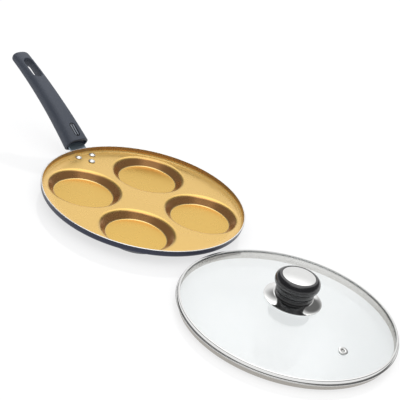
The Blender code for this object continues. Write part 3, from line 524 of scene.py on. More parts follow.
# %% [markdown]
# ## Body of the pan
#
# The real body is one disc of aluminium, pressed in steps: first the wall and its fillet, then four cups. A
# Boolean of cones would leave hard mouths, and a displaced grid would need far more faces to show the
# fillets. So wall and cups are turned rows with round fillets, and the flat deck between them is filled. A
# narrow flat band round each mouth keeps the shading of the flat deck even.

# %% Sizes of the body
SHEET = 0.0016
WALL_FLARE = 8.0
WALL_FOOT_FILLET = 0.0028
DECK_DEPTH = 0.0076
CUP_COUNT = 4
CUP_WEB = 0.0058
CUP_TO_WALL = 0.0003
CUP_WALL_RUN = 0.0131
CUP_MOUTH_FILLET = 0.0080
CUP_FLOOR_FILLET = 0.0025
CUP_BOTTOM_SHEET = 0.0020
RIM_EDGE_IN = 0.0003
RIM_EDGE_OUT = 0.0008
FLAT_BAND = 0.00008

flare = math.radians(WALL_FLARE)
DECK_Z = RIM_Z - DECK_DEPTH
DECK_UNDER_Z = DECK_Z - SHEET
FLOOR_Z = CUP_BOTTOM_SHEET
CUP_DEPTH = DECK_Z - FLOOR_Z
WALL_FOOT_RADIUS = (
    RIM_RADIUS
    - SHEET / math.cos(flare)
    - (DECK_DEPTH - WALL_FOOT_FILLET * (1 - math.sin(flare))) * math.tan(flare)
    - WALL_FOOT_FILLET * math.cos(flare)
)
spread = math.sin(math.pi / CUP_COUNT)
CUP_MOUTH_RADIUS = ((WALL_FOOT_RADIUS - CUP_TO_WALL) * spread - CUP_WEB / 2) / (1 + spread)
CUP_FLOOR_RADIUS = CUP_MOUTH_RADIUS - CUP_WALL_RUN
CUP_PITCH_RADIUS = WALL_FOOT_RADIUS - CUP_TO_WALL - CUP_MOUTH_RADIUS
cup_axes = []
for k in range(CUP_COUNT):
    angle = math.pi + math.tau * (k + 0.5) / CUP_COUNT
    cup_axes.append((PAN_X + CUP_PITCH_RADIUS * math.cos(angle), CUP_PITCH_RADIUS * math.sin(angle)))
fall = CUP_DEPTH - CUP_MOUTH_FILLET - CUP_FLOOR_FILLET
fillets = CUP_MOUTH_FILLET + CUP_FLOOR_FILLET
straight = math.sqrt(CUP_WALL_RUN ** 2 + fall ** 2 - fillets ** 2)
CUP_LEAN = math.degrees(math.atan2(CUP_WALL_RUN, fall) - math.atan2(fillets, straight))
print(f"cup mouth {CUP_MOUTH_RADIUS * 2:.4f} across, wall leans {CUP_LEAN:.1f} degrees")

# %% Sections of wall and cups
GOLD, BARE, SLATE = 0, 1, 2
foot = (WALL_FOOT_RADIUS, DECK_Z + WALL_FOOT_FILLET)
rim_in = RIM_RADIUS - SHEET / math.cos(flare)
edge_in = (rim_in - RIM_EDGE_IN * math.tan(flare) + RIM_EDGE_IN / math.cos(flare), RIM_Z - RIM_EDGE_IN)
edge_out = (
    RIM_RADIUS - RIM_EDGE_OUT * math.tan(flare) - RIM_EDGE_OUT / math.cos(flare), RIM_Z - RIM_EDGE_OUT
)
wall_inside = [(WALL_FOOT_RADIUS - FLAT_BAND, DECK_Z)] + arc(foot, WALL_FOOT_FILLET, -90.0, -WALL_FLARE, 10)
rim_inside = arc(edge_in, RIM_EDGE_IN, 180.0 - WALL_FLARE, 90.0, 5)
rim_outside = arc(edge_out, RIM_EDGE_OUT, 90.0, -WALL_FLARE, 10)
wall_outside = arc(foot, WALL_FOOT_FILLET + SHEET, -WALL_FLARE, -90.0, 10)
wall_outside.append((WALL_FOOT_RADIUS - FLAT_BAND, DECK_UNDER_Z))

mouth = arc(
    (CUP_MOUTH_RADIUS, DECK_Z - CUP_MOUTH_FILLET), CUP_MOUTH_FILLET, 90.0, 180.0 - CUP_LEAN, 14
)
floor_edge = arc(
    (CUP_FLOOR_RADIUS, FLOOR_Z + CUP_FLOOR_FILLET), CUP_FLOOR_FILLET, -CUP_LEAN, -90.0, 8
)
cup_inside = [(CUP_MOUTH_RADIUS + FLAT_BAND, DECK_Z)] + mouth + floor_edge
cup_inside.append((CUP_FLOOR_RADIUS - FLAT_BAND, FLOOR_Z))

boss_fillet = CUP_FLOOR_FILLET + SHEET
boss_edge = arc((CUP_FLOOR_RADIUS, boss_fillet), boss_fillet, -CUP_LEAN, -90.0, 8)
boss_shoulder = arc(
    (CUP_MOUTH_RADIUS, DECK_Z - CUP_MOUTH_FILLET), CUP_MOUTH_FILLET - SHEET, 90.0, 180.0 - CUP_LEAN, 10
)
cup_outside = [(CUP_MOUTH_RADIUS + FLAT_BAND, DECK_UNDER_Z)] + boss_shoulder + boss_edge
cup_outside.append((CUP_FLOOR_RADIUS - FLAT_BAND, 0.0))
print("points in a cup's two sections:", len(cup_inside), len(cup_outside))

# %% Build the body
RIM_STEPS = 240
BARE_FROM = 4
BARE_TO = 8
CUP_STEPS = 160
HOLE_STEPS = 32
RIVET_NODES = ("rivet_inner", "rivet_left", "rivet_right")
RIVET_HOLE_RADIUS = 0.0026

rivet_spots = {}
for name in RIVET_NODES:
    low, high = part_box(name)
    rivet_spots[name] = ((low.x + high.x) / 2, (low.y + high.y) / 2)

bm = bmesh.new()
axis = (PAN_X, 0.0)
inside_rows = spun_rows(bm, wall_inside + rim_inside[:BARE_FROM], RIM_STEPS, axis)
rim_rows = spun_rows(bm, rim_inside[BARE_FROM:] + rim_outside[:BARE_TO], RIM_STEPS, axis)
outside_rows = spun_rows(bm, rim_outside[BARE_TO:] + wall_outside, RIM_STEPS, axis)
skin(bm, inside_rows, GOLD)
skin(bm, [inside_rows[-1]] + rim_rows, BARE)
skin(bm, [rim_rows[-1]] + outside_rows, SLATE)
deck_holes = []
under_holes = []
for cup_axis in cup_axes:
    rows = spun_rows(bm, cup_inside, CUP_STEPS, cup_axis)
    skin(bm, rows, GOLD)
    cap(bm, rows[-1], GOLD)
    deck_holes.append(rows[0])
    rows = spun_rows(bm, cup_outside, CUP_STEPS, cup_axis)
    skin(bm, rows, SLATE)
    cap(bm, rows[-1], SLATE)
    under_holes.append(rows[0])
for spot in rivet_spots.values():
    rows = spun_rows(bm, [(RIVET_HOLE_RADIUS, DECK_Z), (RIVET_HOLE_RADIUS, DECK_UNDER_Z)], HOLE_STEPS, spot)
    skin(bm, rows, BARE)
    deck_holes.append(rows[0])
    under_holes.append(rows[1])
flat_with_holes(bm, inside_rows[0], deck_holes, GOLD)
flat_with_holes(bm, outside_rows[-1], under_holes, SLATE)
piece(
    "pan_shell", bm, [gold_coating, bare_rim, slate_coating], "pan", ["pan_body"], sharp=50.0
)

# %% [markdown]
# ## Painted shade and light in the gold coating
#
# Here the gold isn't one even colour, and its changes are painted light and shade. The steep walls of the
# cups and of the pan are painted brown, a painted shade, and are a little less of a mirror. The foot of the
# wall and the deck beside it are painted a lighter gold, painted light, and are much less of a mirror. The
# edge of each cup's floor carries a painted highlight line, and the floor itself a deeper gold that is
# painted bounce light from inside the cup. A mask drawn in a texture would need an unwrapped mesh. Slope,
# height and the distance from the pan's middle give the same places, and stay true from every side.

# %% Painted shade and light in the gold coating
STEEP_SLOPE = (math.cos(math.radians(22.0)), math.cos(math.radians(44.0)))
ABOVE_FLOOR = (FLOOR_Z + 0.0003, FLOOR_Z + 0.0008)
FOOT_MIDDLE = DECK_Z + 0.0015
OFF_FOOT = (0.0013, 0.0024)
ON_WALL = (DECK_Z + 0.0018, DECK_Z + 0.0026)
ON_FLOOR = (FLOOR_Z + 0.0002, FLOOR_Z)
# Painted highlight: a light line round the edge of each cup's floor.
EDGE_MIDDLE = FLOOR_Z + 0.0004
IN_EDGE = (0.0004, 0.0002)
# Painted light: where the foot of the wall and the deck beside it are lifted to a lighter gold.
LIT_FOOT_MIDDLE = DECK_Z + 0.0012
IN_LIT_FOOT = (0.00115, 0.0010)
ON_DECK = (0.0012, 0.0008)
LIT_DECK_RADII = (0.113, 0.122)
# Painted shade: the browns that darken the steep walls of the cups and of the pan.
CUP_PAINTED_SHADE = (0.60, 0.30, 0.11)
WALL_PAINTED_SHADE = (0.50, 0.335, 0.15)
FOOT_PAINTED_LIGHT = (0.85, 0.555, 0.175)
EDGE_PAINTED_HIGHLIGHT = (0.88, 0.64, 0.28)
# Painted light: a deeper gold on each cup's floor for light bounced inside the cup.
FLOOR_PAINTED_BOUNCE = (0.73, 0.462, 0.100)
STEEP_METALLIC = 0.85
LIT_FOOT_METALLIC = 0.30

tree = gold_coating.node_tree
shader = tree.nodes["Principled BSDF"]
where = add(tree, "ShaderNodeTexCoord")
slope = add(tree, "ShaderNodeSeparateXYZ", {0: where.outputs["Normal"]}).outputs[2]
height = add(tree, "ShaderNodeSeparateXYZ", {0: where.outputs["Object"]}).outputs[2]
deck_middle = (PAN_X, 0.0, DECK_Z)
from_middle = add(
    tree, "ShaderNodeVectorMath", {0: where.outputs["Object"], 1: deck_middle}, operation="DISTANCE"
).outputs["Value"]


def near(middle, span):
    """Mask round a height, by the distances from it at which the mask is 0 and at which it is 1."""
    return fade(tree, maths(tree, "ABSOLUTE", maths(tree, "SUBTRACT", height, middle)), *span)


# Painted shade on steep slopes, kept off the edge of the cup floors and the foot of the wall.
steep_shade = fade(tree, slope, *STEEP_SLOPE)
for mask in (fade(tree, height, *ABOVE_FLOOR), near(FOOT_MIDDLE, OFF_FOOT)):
    steep_shade = maths(tree, "MULTIPLY", steep_shade, mask)
# Painted light at the foot of the wall and on the deck beside it.
painted_deck_light = maths(tree, "MULTIPLY", fade(tree, from_middle, *LIT_DECK_RADII), near(DECK_Z, ON_DECK))
painted_foot_light = maths(tree, "MAXIMUM", near(LIT_FOOT_MIDDLE, IN_LIT_FOOT), painted_deck_light)
# Painted shade: one brown on the cups' walls, another higher up on the pan's wall.
painted_wall_shade = blend_colours(tree, fade(tree, height, *ON_WALL), CUP_PAINTED_SHADE, WALL_PAINTED_SHADE)
colour = shader.inputs["Base Color"].links[0].from_socket
# Each step paints light or shade into the gold colour.
for mask, towards in (
    (fade(tree, height, *ON_FLOOR), FLOOR_PAINTED_BOUNCE),
    (steep_shade, painted_wall_shade),
    (near(EDGE_MIDDLE, IN_EDGE), EDGE_PAINTED_HIGHLIGHT),
    (painted_foot_light, FOOT_PAINTED_LIGHT),
):
    colour = blend_colours(tree, mask, colour, towards)
mirror = blend_levels(tree, painted_foot_light, levels(tree, steep_shade, GOLD_METALLIC, STEEP_METALLIC), LIT_FOOT_METALLIC)
feed(tree, shader, Base_Color=colour, Metallic=mirror)
print("gold coating:", len(tree.nodes), "nodes")

# %% [markdown]
# ## Rivets
#
# Three cold-headed rivets hold the bracket. A head is a low dome with a rounded edge, about twice as wide
# as the shank, and catches the light as a small bright spot.

# %% Rivets
HEAD_RADIUS = 0.0045
HEAD_EDGE = 0.0005
SHANK_RADIUS = 0.0023
TAIL_RADIUS = 0.0034
TAIL_HEIGHT = 0.0014
TAIL_EDGE = 0.0006
SEAT_GAP = 0.0003
MIDDLE_FACE = 0.0002
RIVET_STEPS = 40


def rivet_section(low, high):
    """From the middle of the head down to the middle of the tail, between the box's heights."""
    seat = DECK_Z + SEAT_GAP
    tail = low + TAIL_HEIGHT
    dome_height = high - seat - HEAD_EDGE
    dome_radius = (HEAD_RADIUS ** 2 + dome_height ** 2) / (2 * dome_height)
    reach = math.degrees(math.asin((HEAD_RADIUS - HEAD_EDGE) / dome_radius))
    dome = arc((0.0, high - dome_radius), dome_radius, 89.0, 90.0 - reach, 8)
    edge_z = dome[-1][1] - HEAD_EDGE
    edge = arc((HEAD_RADIUS - HEAD_EDGE, edge_z), HEAD_EDGE, 60.0, -60.0, 5)
    shank = [(SHANK_RADIUS + HEAD_EDGE, seat), (SHANK_RADIUS, seat), (SHANK_RADIUS, tail)]
    foot = [(TAIL_RADIUS, tail), (TAIL_RADIUS, tail - TAIL_HEIGHT / 2)]
    foot += [(TAIL_RADIUS - TAIL_EDGE, low), (MIDDLE_FACE, low)]
    return dome + edge + shank + foot


for name in RIVET_NODES:
    low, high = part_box(name)
    bm = turned(rivet_section(low.z, high.z), RIVET_STEPS, rivet_spots[name])
    piece(name + "_fine", bm, [rivet_metal], "pan", [name])

# %% [markdown]
# ## Handle bracket and its screw
#
# The bracket is a folded strip whose edges the construction already has, so it only takes its coating. The
# screw that hides inside the grip takes its steel the same way.

# %% Finishes of the pieces that keep their shape
kept_finishes = {
    "handle_bracket": neck_coating,
    "handle_screw": screw_steel,
}
for name, material in kept_finishes.items():
    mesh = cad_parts[name].data
    mesh.materials.clear()
    mesh.materials.append(material)
    print(f"{name} takes {material.name}")

# %% [markdown]
# ## Grip
#
# The grip is one moulding: a rounded oval that follows a gently curved spine, with a hanging slot right
# through it and a shallow recess for the inlay. Cutting the openings with Booleans would leave sharp knife
# edges. A moulding has soft edges there, so the skin is a grid, and each opening is a patch of rings that
# run from the grid to a rounded lip and down its wall.

# %% Spine and skin of the grip
NECK_SHOWN = 0.0115
GRIP_BELOW_RIM = 0.0011
GRIP_START_SLOPE = 28.3
GRIP_TIP_SLOPE = 15.8
GRIP_REACH = 0.1508
GRIP_START = RIM_RADIUS + NECK_SHOWN
GRIP_START_Z = RIM_Z - GRIP_BELOW_RIM
GRIP_START_RISE = math.tan(math.radians(GRIP_START_SLOPE))
GRIP_RISE_CHANGE = math.tan(math.radians(GRIP_TIP_SLOPE)) - GRIP_START_RISE
GRIP_WIDTHS = (0.0340, 0.0268, 0.0258)
GRIP_HEIGHTS = (0.0243, 0.0209, 0.0143)
SQUARENESS = 2.5
TIP_ROUND = 0.0080
TIP_SQUARENESS = 3.2
END_WALL = 0.0024
END_HOLLOW = 0.0032
END_ROUND = 0.0012


def between(share, values):
    """Smooth value along the grip from its end, middle and tip values."""
    start, middle, tip = values
    near_start = start * (1 - share) * (1 - 2 * share)
    return near_start + middle * 4 * share * (1 - share) + tip * share * (2 * share - 1)


def grip_frame(share):
    """Placement on the spine: local X runs to the tip and Z stands up from the grip."""
    rise = GRIP_REACH * (GRIP_START_RISE * share + GRIP_RISE_CHANGE * share ** 2 / 2)
    spot = Vector((PAN_X - GRIP_START - GRIP_REACH * share, 0.0, GRIP_START_Z + rise))
    slope = math.atan(GRIP_START_RISE + GRIP_RISE_CHANGE * share)
    turn = Matrix.Rotation(math.pi, 4, "Z") @ Matrix.Rotation(-slope, 4, "Y")
    return Matrix.Translation(spot) @ turn


def grip_half_size(share):
    """Half width and half height, drawn in at the rounded tip and the softened end."""
    width = between(share, GRIP_WIDTHS) / 2
    height = between(share, GRIP_HEIGHTS) / 2
    past_end = share * GRIP_REACH
    if past_end < END_ROUND:
        inset = END_ROUND - math.sqrt(END_ROUND ** 2 - (END_ROUND - past_end) ** 2)
        return width - inset, height - inset
    part = (share * GRIP_REACH - (GRIP_REACH - TIP_ROUND)) / TIP_ROUND
    if part > 0:
        scale = (1 - part ** TIP_SQUARENESS) ** (1 / TIP_SQUARENESS)
        return width * scale, height * scale
    return width, height


def grip_point(share, across, side):
    """Point of the skin: across runs from -1 to 1 of the half width, side is 1 on top and -1 below."""
    width, height = grip_half_size(share)
    up = (1 - min(abs(across), 1.0) ** SQUARENESS) ** (1 / SQUARENESS)
    return grip_frame(share) @ Vector((0.0, across * width, side * up * height))


print("the grip's tip lies at", grip_frame(1.0).translation.to_tuple(4))

# %% Openings in the grip
SPINE_SLOPE = math.radians(20.0)
STEP_SHARE = 0.94
GRID_TO_LIP = 7


class Opening:
    """A slot with round ends: distance from the grip's end, size, lip radius, side (1 on top, -1 below)."""

    def __init__(self, from_end, length, width, lip, side):
        self.share = from_end / GRIP_REACH
        self.half = (length - width) / 2
        self.radius = width / 2
        self.lip = lip
        self.side = side
        self.frame = grip_frame(self.share)
        self.back = self.frame.inverted()

    def share_at(self, x, y):
        """Share of the spine whose skin lies over a point of the opening's own plane."""
        share = self.share + x * math.cos(SPINE_SLOPE) / GRIP_REACH
        for _ in range(8):
            half_width = grip_half_size(share)[0]
            spot = self.back @ grip_point(share, y / half_width, self.side)
            share += (x - spot.x) * STEP_SHARE / GRIP_REACH
        return share

    def on_skin(self, x, y):
        """Height of the skin in the opening's own frame."""
        share = self.share_at(x, y)
        return (self.back @ grip_point(share, y / grip_half_size(share)[0], self.side)).z

    def rings(self, outline):
        """Rings of points from the grid's outline to the bottom of the lip, in the model's frame."""
        flat = [self.back @ point for point in outline]
        middles = [max(-self.half, min(self.half, point.x)) for point in flat]
        ways = [Vector((p.x - m, p.y)).normalized() for p, m in zip(flat, middles)]
        rings = []
        start = self.radius + self.lip
        for k in range(1, GRID_TO_LIP + 1):
            ring = []
            for point, middle, way in zip(flat, middles, ways):
                x = point.x + (middle + start * way.x - point.x) * k / GRID_TO_LIP
                y = point.y + (start * way.y - point.y) * k / GRID_TO_LIP
                ring.append(self.frame @ Vector((x, y, self.on_skin(x, y))))
            rings.append(ring)
        for degrees in (22.5, 45.0, 67.5, 90.0):
            angle = math.radians(degrees)
            out = self.radius + self.lip * (1 - math.sin(angle))
            drop = self.lip * (1 - math.cos(angle))
            ring = []
            for middle, way in zip(middles, ways):
                x = middle + out * way.x
                y = out * way.y
                ring.append(self.frame @ Vector((x, y, self.on_skin(x, y) - self.side * drop)))
            rings.append(ring)
        return rings


SLOT_FROM_END = GRIP_REACH - 0.0331
SLOT_LENGTH = 0.0360
SLOT_WIDTH = 0.0130
RECESS_LENGTH = 0.0215
RECESS_WIDTH = 0.0084
slot_top = Opening(SLOT_FROM_END, SLOT_LENGTH, SLOT_WIDTH, 0.0018, 1)
slot_under = Opening(SLOT_FROM_END, SLOT_LENGTH, SLOT_WIDTH, 0.0044, -1)
recess = Opening(0.0147, RECESS_LENGTH, RECESS_WIDTH, 0.0005, 1)
print(f"along the grip: recess at {recess.share:.3f}, slot at {slot_top.share:.3f}")

# %% Rows of the grip
GRIP_ROWS = 110
GRIP_STEPS = 96
SLOT_MARGIN = 0.0010
RECESS_MARGIN = 0.0016


def grid_angle(k):
    """Signed sine and cosine of a superellipse step, as shares of the half sizes."""
    angle = math.tau * k / GRIP_STEPS
    power = 2 / SQUARENESS
    across = math.copysign(abs(math.cos(angle)) ** power, math.cos(angle))
    up = math.copysign(abs(math.sin(angle)) ** power, math.sin(angle))
    return across, up


def grip_shares():
    """Shares of the rows: close together at the end's round and at the tip."""
    start = [END_ROUND / GRIP_REACH * (1 - math.cos(math.radians(angle))) for angle in (0, 30, 60)]
    first = END_ROUND / GRIP_REACH
    last = 1 - TIP_ROUND / GRIP_REACH
    middle = [first + (last - first) * k / GRIP_ROWS for k in range(GRIP_ROWS + 1)]
    tip = [last + (1 - last) * math.sin(math.radians(angle)) for angle in range(6, 88, 6)]
    return start + middle + tip


def block(shares, opening, margin):
    """Rows and columns of the grid that an opening's patch takes out."""
    half_length = (opening.half + opening.radius + opening.lip + margin) / GRIP_REACH
    half_width = (opening.radius + opening.lip + margin) / grip_half_size(opening.share)[0]
    rows = [k for k, share in enumerate(shares) if abs(share - opening.share) < half_length]
    columns = [k for k in range(GRIP_STEPS // 2) if abs(grid_angle(k)[0]) < half_width and k > 0]
    return rows[0] - 1, rows[-1] + 1, columns[0] - 1, columns[-1] + 1


def grip_row(place, depth, half_width, half_height):
    """One row of vertices round the grip, at a depth along its placement."""
    row = []
    for k in range(GRIP_STEPS):
        across, up = grid_angle(k)
        row.append(bm.verts.new(place @ Vector((depth, across * half_width, up * half_height))))
    return row


shares = grip_shares()
bm = bmesh.new()
grid = [grip_row(grip_frame(share), 0.0, *grip_half_size(share)) for share in shares]
print(f"{len(grid)} rows of {GRIP_STEPS} vertices")


# %% Skin and lips of the grip
def column(k, side):
    """Index of a column on top, or of its mirror image below."""
    return k if side > 0 else (GRIP_STEPS - k) % GRIP_STEPS


def outline_of(rows_columns, side):
    """Vertices round a block of the grid, in order."""
    first, last, left, right = rows_columns
    keys = [(first, c) for c in range(left, right)]
    keys += [(r, right) for r in range(first, last)]
    keys += [(last, c) for c in range(right, left, -1)]
    keys += [(r, left) for r in range(last, first, -1)]
    return [grid[r][column(c, side)] for r, c in keys]


openings = [
    (slot_top, block(shares, slot_under, SLOT_MARGIN)),
    (slot_under, block(shares, slot_under, SLOT_MARGIN)),
    (recess, block(shares, recess, RECESS_MARGIN)),
]
cut = set()
for opening, (first, last, left, right) in openings:
    for r in range(first, last):
        for c in range(left, right):
            if opening.side > 0:
                cut.add((r, c))
            else:
                cut.add((r, GRIP_STEPS - 1 - c))
for r in range(len(grid) - 1):
    for c in range(GRIP_STEPS):
        if (r, c) not in cut:
            after = (c + 1) % GRIP_STEPS
            bm.faces.new((grid[r][c], grid[r][after], grid[r + 1][after], grid[r + 1][c]))

lip_rows = []
for opening, rows_columns in openings:
    outline = outline_of(rows_columns, opening.side)
    rings = opening.rings([vert.co for vert in outline])
    rows = [outline] + [[bm.verts.new(point) for point in ring] for ring in rings]
    skin(bm, rows)
    lip_rows.append(rows[-1])
skin(bm, lip_rows[:2])
print(f"the grip's skin and lips have {len(bm.faces)} faces")

# %% Floor of the recess and open end
RECESS_DEPTH = 0.0020
recess_floor_z = between(recess.share, GRIP_HEIGHTS) / 2 - RECESS_DEPTH
floor_row = []
for vert in lip_rows[2]:
    spot = recess.back @ vert.co
    floor_row.append(bm.verts.new(recess.frame @ Vector((spot.x, spot.y, recess_floor_z))))
skin(bm, [lip_rows[2], floor_row])
cap(bm, floor_row)
cap(bm, grid[-1])

END_LIP = 0.0005
end_place = grip_frame(0.0)
end_rows = [grid[0]]
for share, depth in ((0.0, 0.0), (0.3, 0.0002), (0.5, END_LIP)):
    inset = END_WALL + END_LIP * share
    end_rows.append(grip_row(end_place, depth, GRIP_WIDTHS[0] / 2 - inset, GRIP_HEIGHTS[0] / 2 - inset))
row = []
for vert in end_rows[-1]:
    spot = end_place.inverted() @ vert.co
    row.append(bm.verts.new(end_place @ Vector((END_HOLLOW, spot.y, spot.z))))
end_rows.append(row)
skin(bm, end_rows)
cap(bm, row)
loose = [vert for vert in bm.verts if not vert.link_faces]
bmesh.ops.delete(bm, geom=loose, context="VERTS")
piece("grip_moulding", bm, [charcoal], "pan", ["handle_grip"])

# %% [markdown]
# ## Inlay
#
# A small ribbed plate sits in the recess. Ribs as geometry keep their light when the camera moves, which a
# bump map would not, so each rib is a low half-round bar with round ends.

# %% Inlay
def stadium(length, width, steps=12):
    """Outline of a slot with round ends."""
    radius = width / 2
    half = (length - width) / 2
    return arc((half, 0.0), radius, -90.0, 90.0, steps) + arc((-half, 0.0), radius, 90.0, 270.0, steps)


def pillow(bm, place, length, width, low, high, edge, shift=0.0, material=0):
    """A bar with round ends and a rounded top edge, between two heights of a local frame."""
    rows = []
    ledges = [(0.0, low), (0.0, high - edge)]
    ledges += [
        (edge * (1 - math.cos(math.radians(angle))), high - edge * (1 - math.sin(math.radians(angle))))
        for angle in (30, 60, 90)
    ]
    for inset, height in ledges:
        outline = stadium(length - 2 * inset, width - 2 * inset)
        rows.append([bm.verts.new(place @ Vector((x, y + shift, height))) for x, y in outline])
    skin(bm, rows, material)
    cap(bm, rows[0], material)
    cap(bm, rows[-1], material)


INLAY_GAP = 0.0003
PLATE_SHEET = 0.0009
PLATE_EDGE = 0.0002
RIB_PITCH = 0.0035
RIB_LENGTH = 0.0168
RIB_WIDTH = 0.0014
RIB_HEIGHT = 0.0005
bm = bmesh.new()
plate_low = recess_floor_z + INLAY_GAP
plate_high = plate_low + PLATE_SHEET
pillow(
    bm, recess.frame, RECESS_LENGTH - 2 * INLAY_GAP, RECESS_WIDTH - 2 * INLAY_GAP,
    plate_low, plate_high, PLATE_EDGE,
)
for k in (-0.5, 0.5):
    pillow(
        bm, recess.frame, RIB_LENGTH, RIB_WIDTH, plate_high - PLATE_EDGE, plate_high + RIB_HEIGHT,
        RIB_HEIGHT, shift=k * RIB_PITCH, material=1,
    )
piece("ribbed_inlay", bm, [inlay_dark, inlay_bright], "pan", ["handle_inlay"])

# %% [markdown]
# ## Glass of the lid
#
# The glass is a shallow cap of a sphere, the same thickness all over, with a ground edge, a hole for the
# knob's screw and one for the vent. The vent hole is cut by a Boolean, because a flange covers its edge.

# %% Dome of glass
GLASS_THICKNESS = 0.0032
GLASS_EDGE_RADIUS = (glass_high.x - glass_low.x) / 2
GLASS_HOLE_RADIUS = 0.0052
GLASS_RISE = 0.0190
GLASS_TOP_Z = glass_high.z
GLASS_GROUND = 0.0004
GLASS_BANDS = 28
GLASS_SHARP = 30.0
VENT_FROM_EDGE = 0.0364
GLASS_BALL = (GLASS_EDGE_RADIUS ** 2 + GLASS_RISE ** 2) / (2 * GLASS_RISE)
VENT_RADIUS_OUT = GLASS_EDGE_RADIUS - VENT_FROM_EDGE
VENT_BEARING = math.radians(-6.0)
VENT_BARREL = 0.0030


def glass_height(radius, depth=0.0):
    """Height of the glass at a distance from its axis; depth goes into the glass."""
    return GLASS_TOP_Z - GLASS_BALL + math.sqrt((GLASS_BALL - depth) ** 2 - radius ** 2)


glass_width = GLASS_EDGE_RADIUS - GLASS_HOLE_RADIUS
radii = [GLASS_HOLE_RADIUS + glass_width * k / GLASS_BANDS for k in range(GLASS_BANDS + 1)]
outer = [(radius, glass_height(radius)) for radius in radii[:-1]]
outer.append((GLASS_EDGE_RADIUS - GLASS_GROUND, glass_height(GLASS_EDGE_RADIUS - GLASS_GROUND)))
outer.append((GLASS_EDGE_RADIUS, glass_height(GLASS_EDGE_RADIUS) - GLASS_GROUND))
inner = [(radius, glass_height(radius, GLASS_THICKNESS)) for radius in reversed(radii)]
lid_axis = (LID_X, 0.0)
glass = piece(
    "domed_glass", turned(outer + inner, 200, lid_axis, ring=True), [clear_glass], "lid", ["lid_glass"],
    sharp=GLASS_SHARP,
)

tilt = math.asin(VENT_RADIUS_OUT / GLASS_BALL)
vent_frame = (
    Matrix.Translation((LID_X, 0.0, 0.0))
    @ Matrix.Rotation(VENT_BEARING, 4, "Z")
    @ Matrix.Translation((VENT_RADIUS_OUT, 0.0, glass_height(VENT_RADIUS_OUT)))
    @ Matrix.Rotation(tilt, 4, "Y")
)

# %% [markdown]
# ## Steel band of the lid
#
# One rolled strip does three jobs: a skirt drops inside the pan, a lip rests on its rim, and a hook folds
# over the glass. The hook and the lip are polished, and the skirt is left satin, so the section carries two
# materials. The strip is rolled, so its outer corners are eased by a small arc or a bevel.

# %% Band
SKIRT_SHEET = 0.0008
SKIRT_CLEARANCE = 0.0006
SKIRT_EDGE = 0.0002
SKIRT_HEIGHT = DECK_DEPTH - SKIRT_CLEARANCE
LIP_THICKNESS = 0.0014
LIP_ROUND = LIP_THICKNESS / 2
HOOK_SHEET = 0.0007
HOOK_REACH = 0.0018
BEAD = 0.0003
BEAD_HALF = 0.0010
CORNER = 0.0003
LID_FIT = 0.0004
LID_RADIUS = (rim_high.x - rim_low.x) / 2
SATIN, POLISHED = 0, 1
beside_fillet = WALL_FOOT_FILLET - SKIRT_CLEARANCE
SKIRT_RADIUS = WALL_FOOT_RADIUS - LID_FIT + math.sqrt(WALL_FOOT_FILLET ** 2 - beside_fillet ** 2)
skirt_in = SKIRT_RADIUS - SKIRT_SHEET
shelf_z = SKIRT_HEIGHT + HOOK_SHEET
hook_wall = GLASS_EDGE_RADIUS + SEAT_GAP
hook_in = GLASS_EDGE_RADIUS - HOOK_REACH
hook_out = hook_wall + HOOK_SHEET
hook_low = glass_height(hook_in) + SEAT_GAP
hook_top = hook_low + HOOK_SHEET
lip_top = SKIRT_HEIGHT + LIP_THICKNESS
bead_z = SKIRT_HEIGHT / 2

satin_part = [(skirt_in, SKIRT_EDGE), (skirt_in + SKIRT_EDGE, 0.0)]
satin_part += arc((SKIRT_RADIUS - SKIRT_EDGE, SKIRT_EDGE), SKIRT_EDGE, -90.0, 0.0, 3)
for share in (-1.0, -0.5, 0.0, 0.5, 1.0):
    satin_part.append((SKIRT_RADIUS + BEAD * (1 - abs(share)), bead_z + BEAD_HALF * share))
satin_part += [(SKIRT_RADIUS, SKIRT_HEIGHT - CORNER), (SKIRT_RADIUS + CORNER, SKIRT_HEIGHT)]
polished_part = arc((LID_RADIUS - LIP_ROUND, SKIRT_HEIGHT + LIP_ROUND), LIP_ROUND, -90.0, 90.0, 8)
polished_part += [(hook_out + CORNER, lip_top), (hook_out, lip_top + CORNER)]
polished_part += arc((hook_wall, hook_low), HOOK_SHEET, 0.0, 90.0, 5)
polished_part += [(hook_in + CORNER, hook_top), (hook_in, hook_top - CORNER), (hook_in, hook_low)]
polished_part += [(hook_wall, glass_height(GLASS_EDGE_RADIUS) + SEAT_GAP), (hook_wall, shelf_z)]
polished_part.append((skirt_in, shelf_z))
section = satin_part + polished_part
slots = [SATIN] * len(satin_part) + [POLISHED] * (len(polished_part) - 1) + [SATIN]
piece(
    "rolled_band", turned(section, 240, lid_axis, ring=True, slots=slots), [satin_steel, polished_steel],
    "lid", ["lid_rim"],
)

# %% [markdown]
# ## Vent
#
# A small eyelet lets steam out. It is rolled from tube: a rounded flange on top, a barrel through the glass
# and a spread tail below.

# %% Vent
VENT_BORE = 0.0017
VENT_FLANGE = VENT_BARREL + 0.0026
VENT_TAIL = VENT_BARREL + 0.0015
VENT_FLANGE_HEIGHT = 0.0009
VENT_TAIL_HEIGHT = 0.0006
VENT_TAIL_EDGE = 0.0003
BORE_ROUND = 0.0007
VENT_STEPS = 48
tail_z = -GLASS_THICKNESS - SEAT_GAP
tail_low = tail_z - VENT_TAIL_HEIGHT
flange_top = VENT_FLANGE_HEIGHT + SEAT_GAP
roll = VENT_FLANGE_HEIGHT / 2
vent_section = arc((VENT_BORE + BORE_ROUND, flange_top - BORE_ROUND), BORE_ROUND, 180.0, 90.0, 5)
vent_section += arc((VENT_FLANGE - roll, SEAT_GAP + roll), roll, 90.0, -90.0, 8)
vent_section += [(VENT_BARREL, SEAT_GAP), (VENT_BARREL, tail_z), (VENT_TAIL, tail_z)]
vent_section += [(VENT_TAIL - VENT_TAIL_EDGE, tail_low), (VENT_BORE, tail_low)]
bm = turned(vent_section, VENT_STEPS, (0.0, 0.0), ring=True)
bmesh.ops.transform(bm, matrix=vent_frame, verts=bm.verts[:])
piece("rolled_eyelet", bm, [polished_steel], "lid", ["vent_eyelet"])

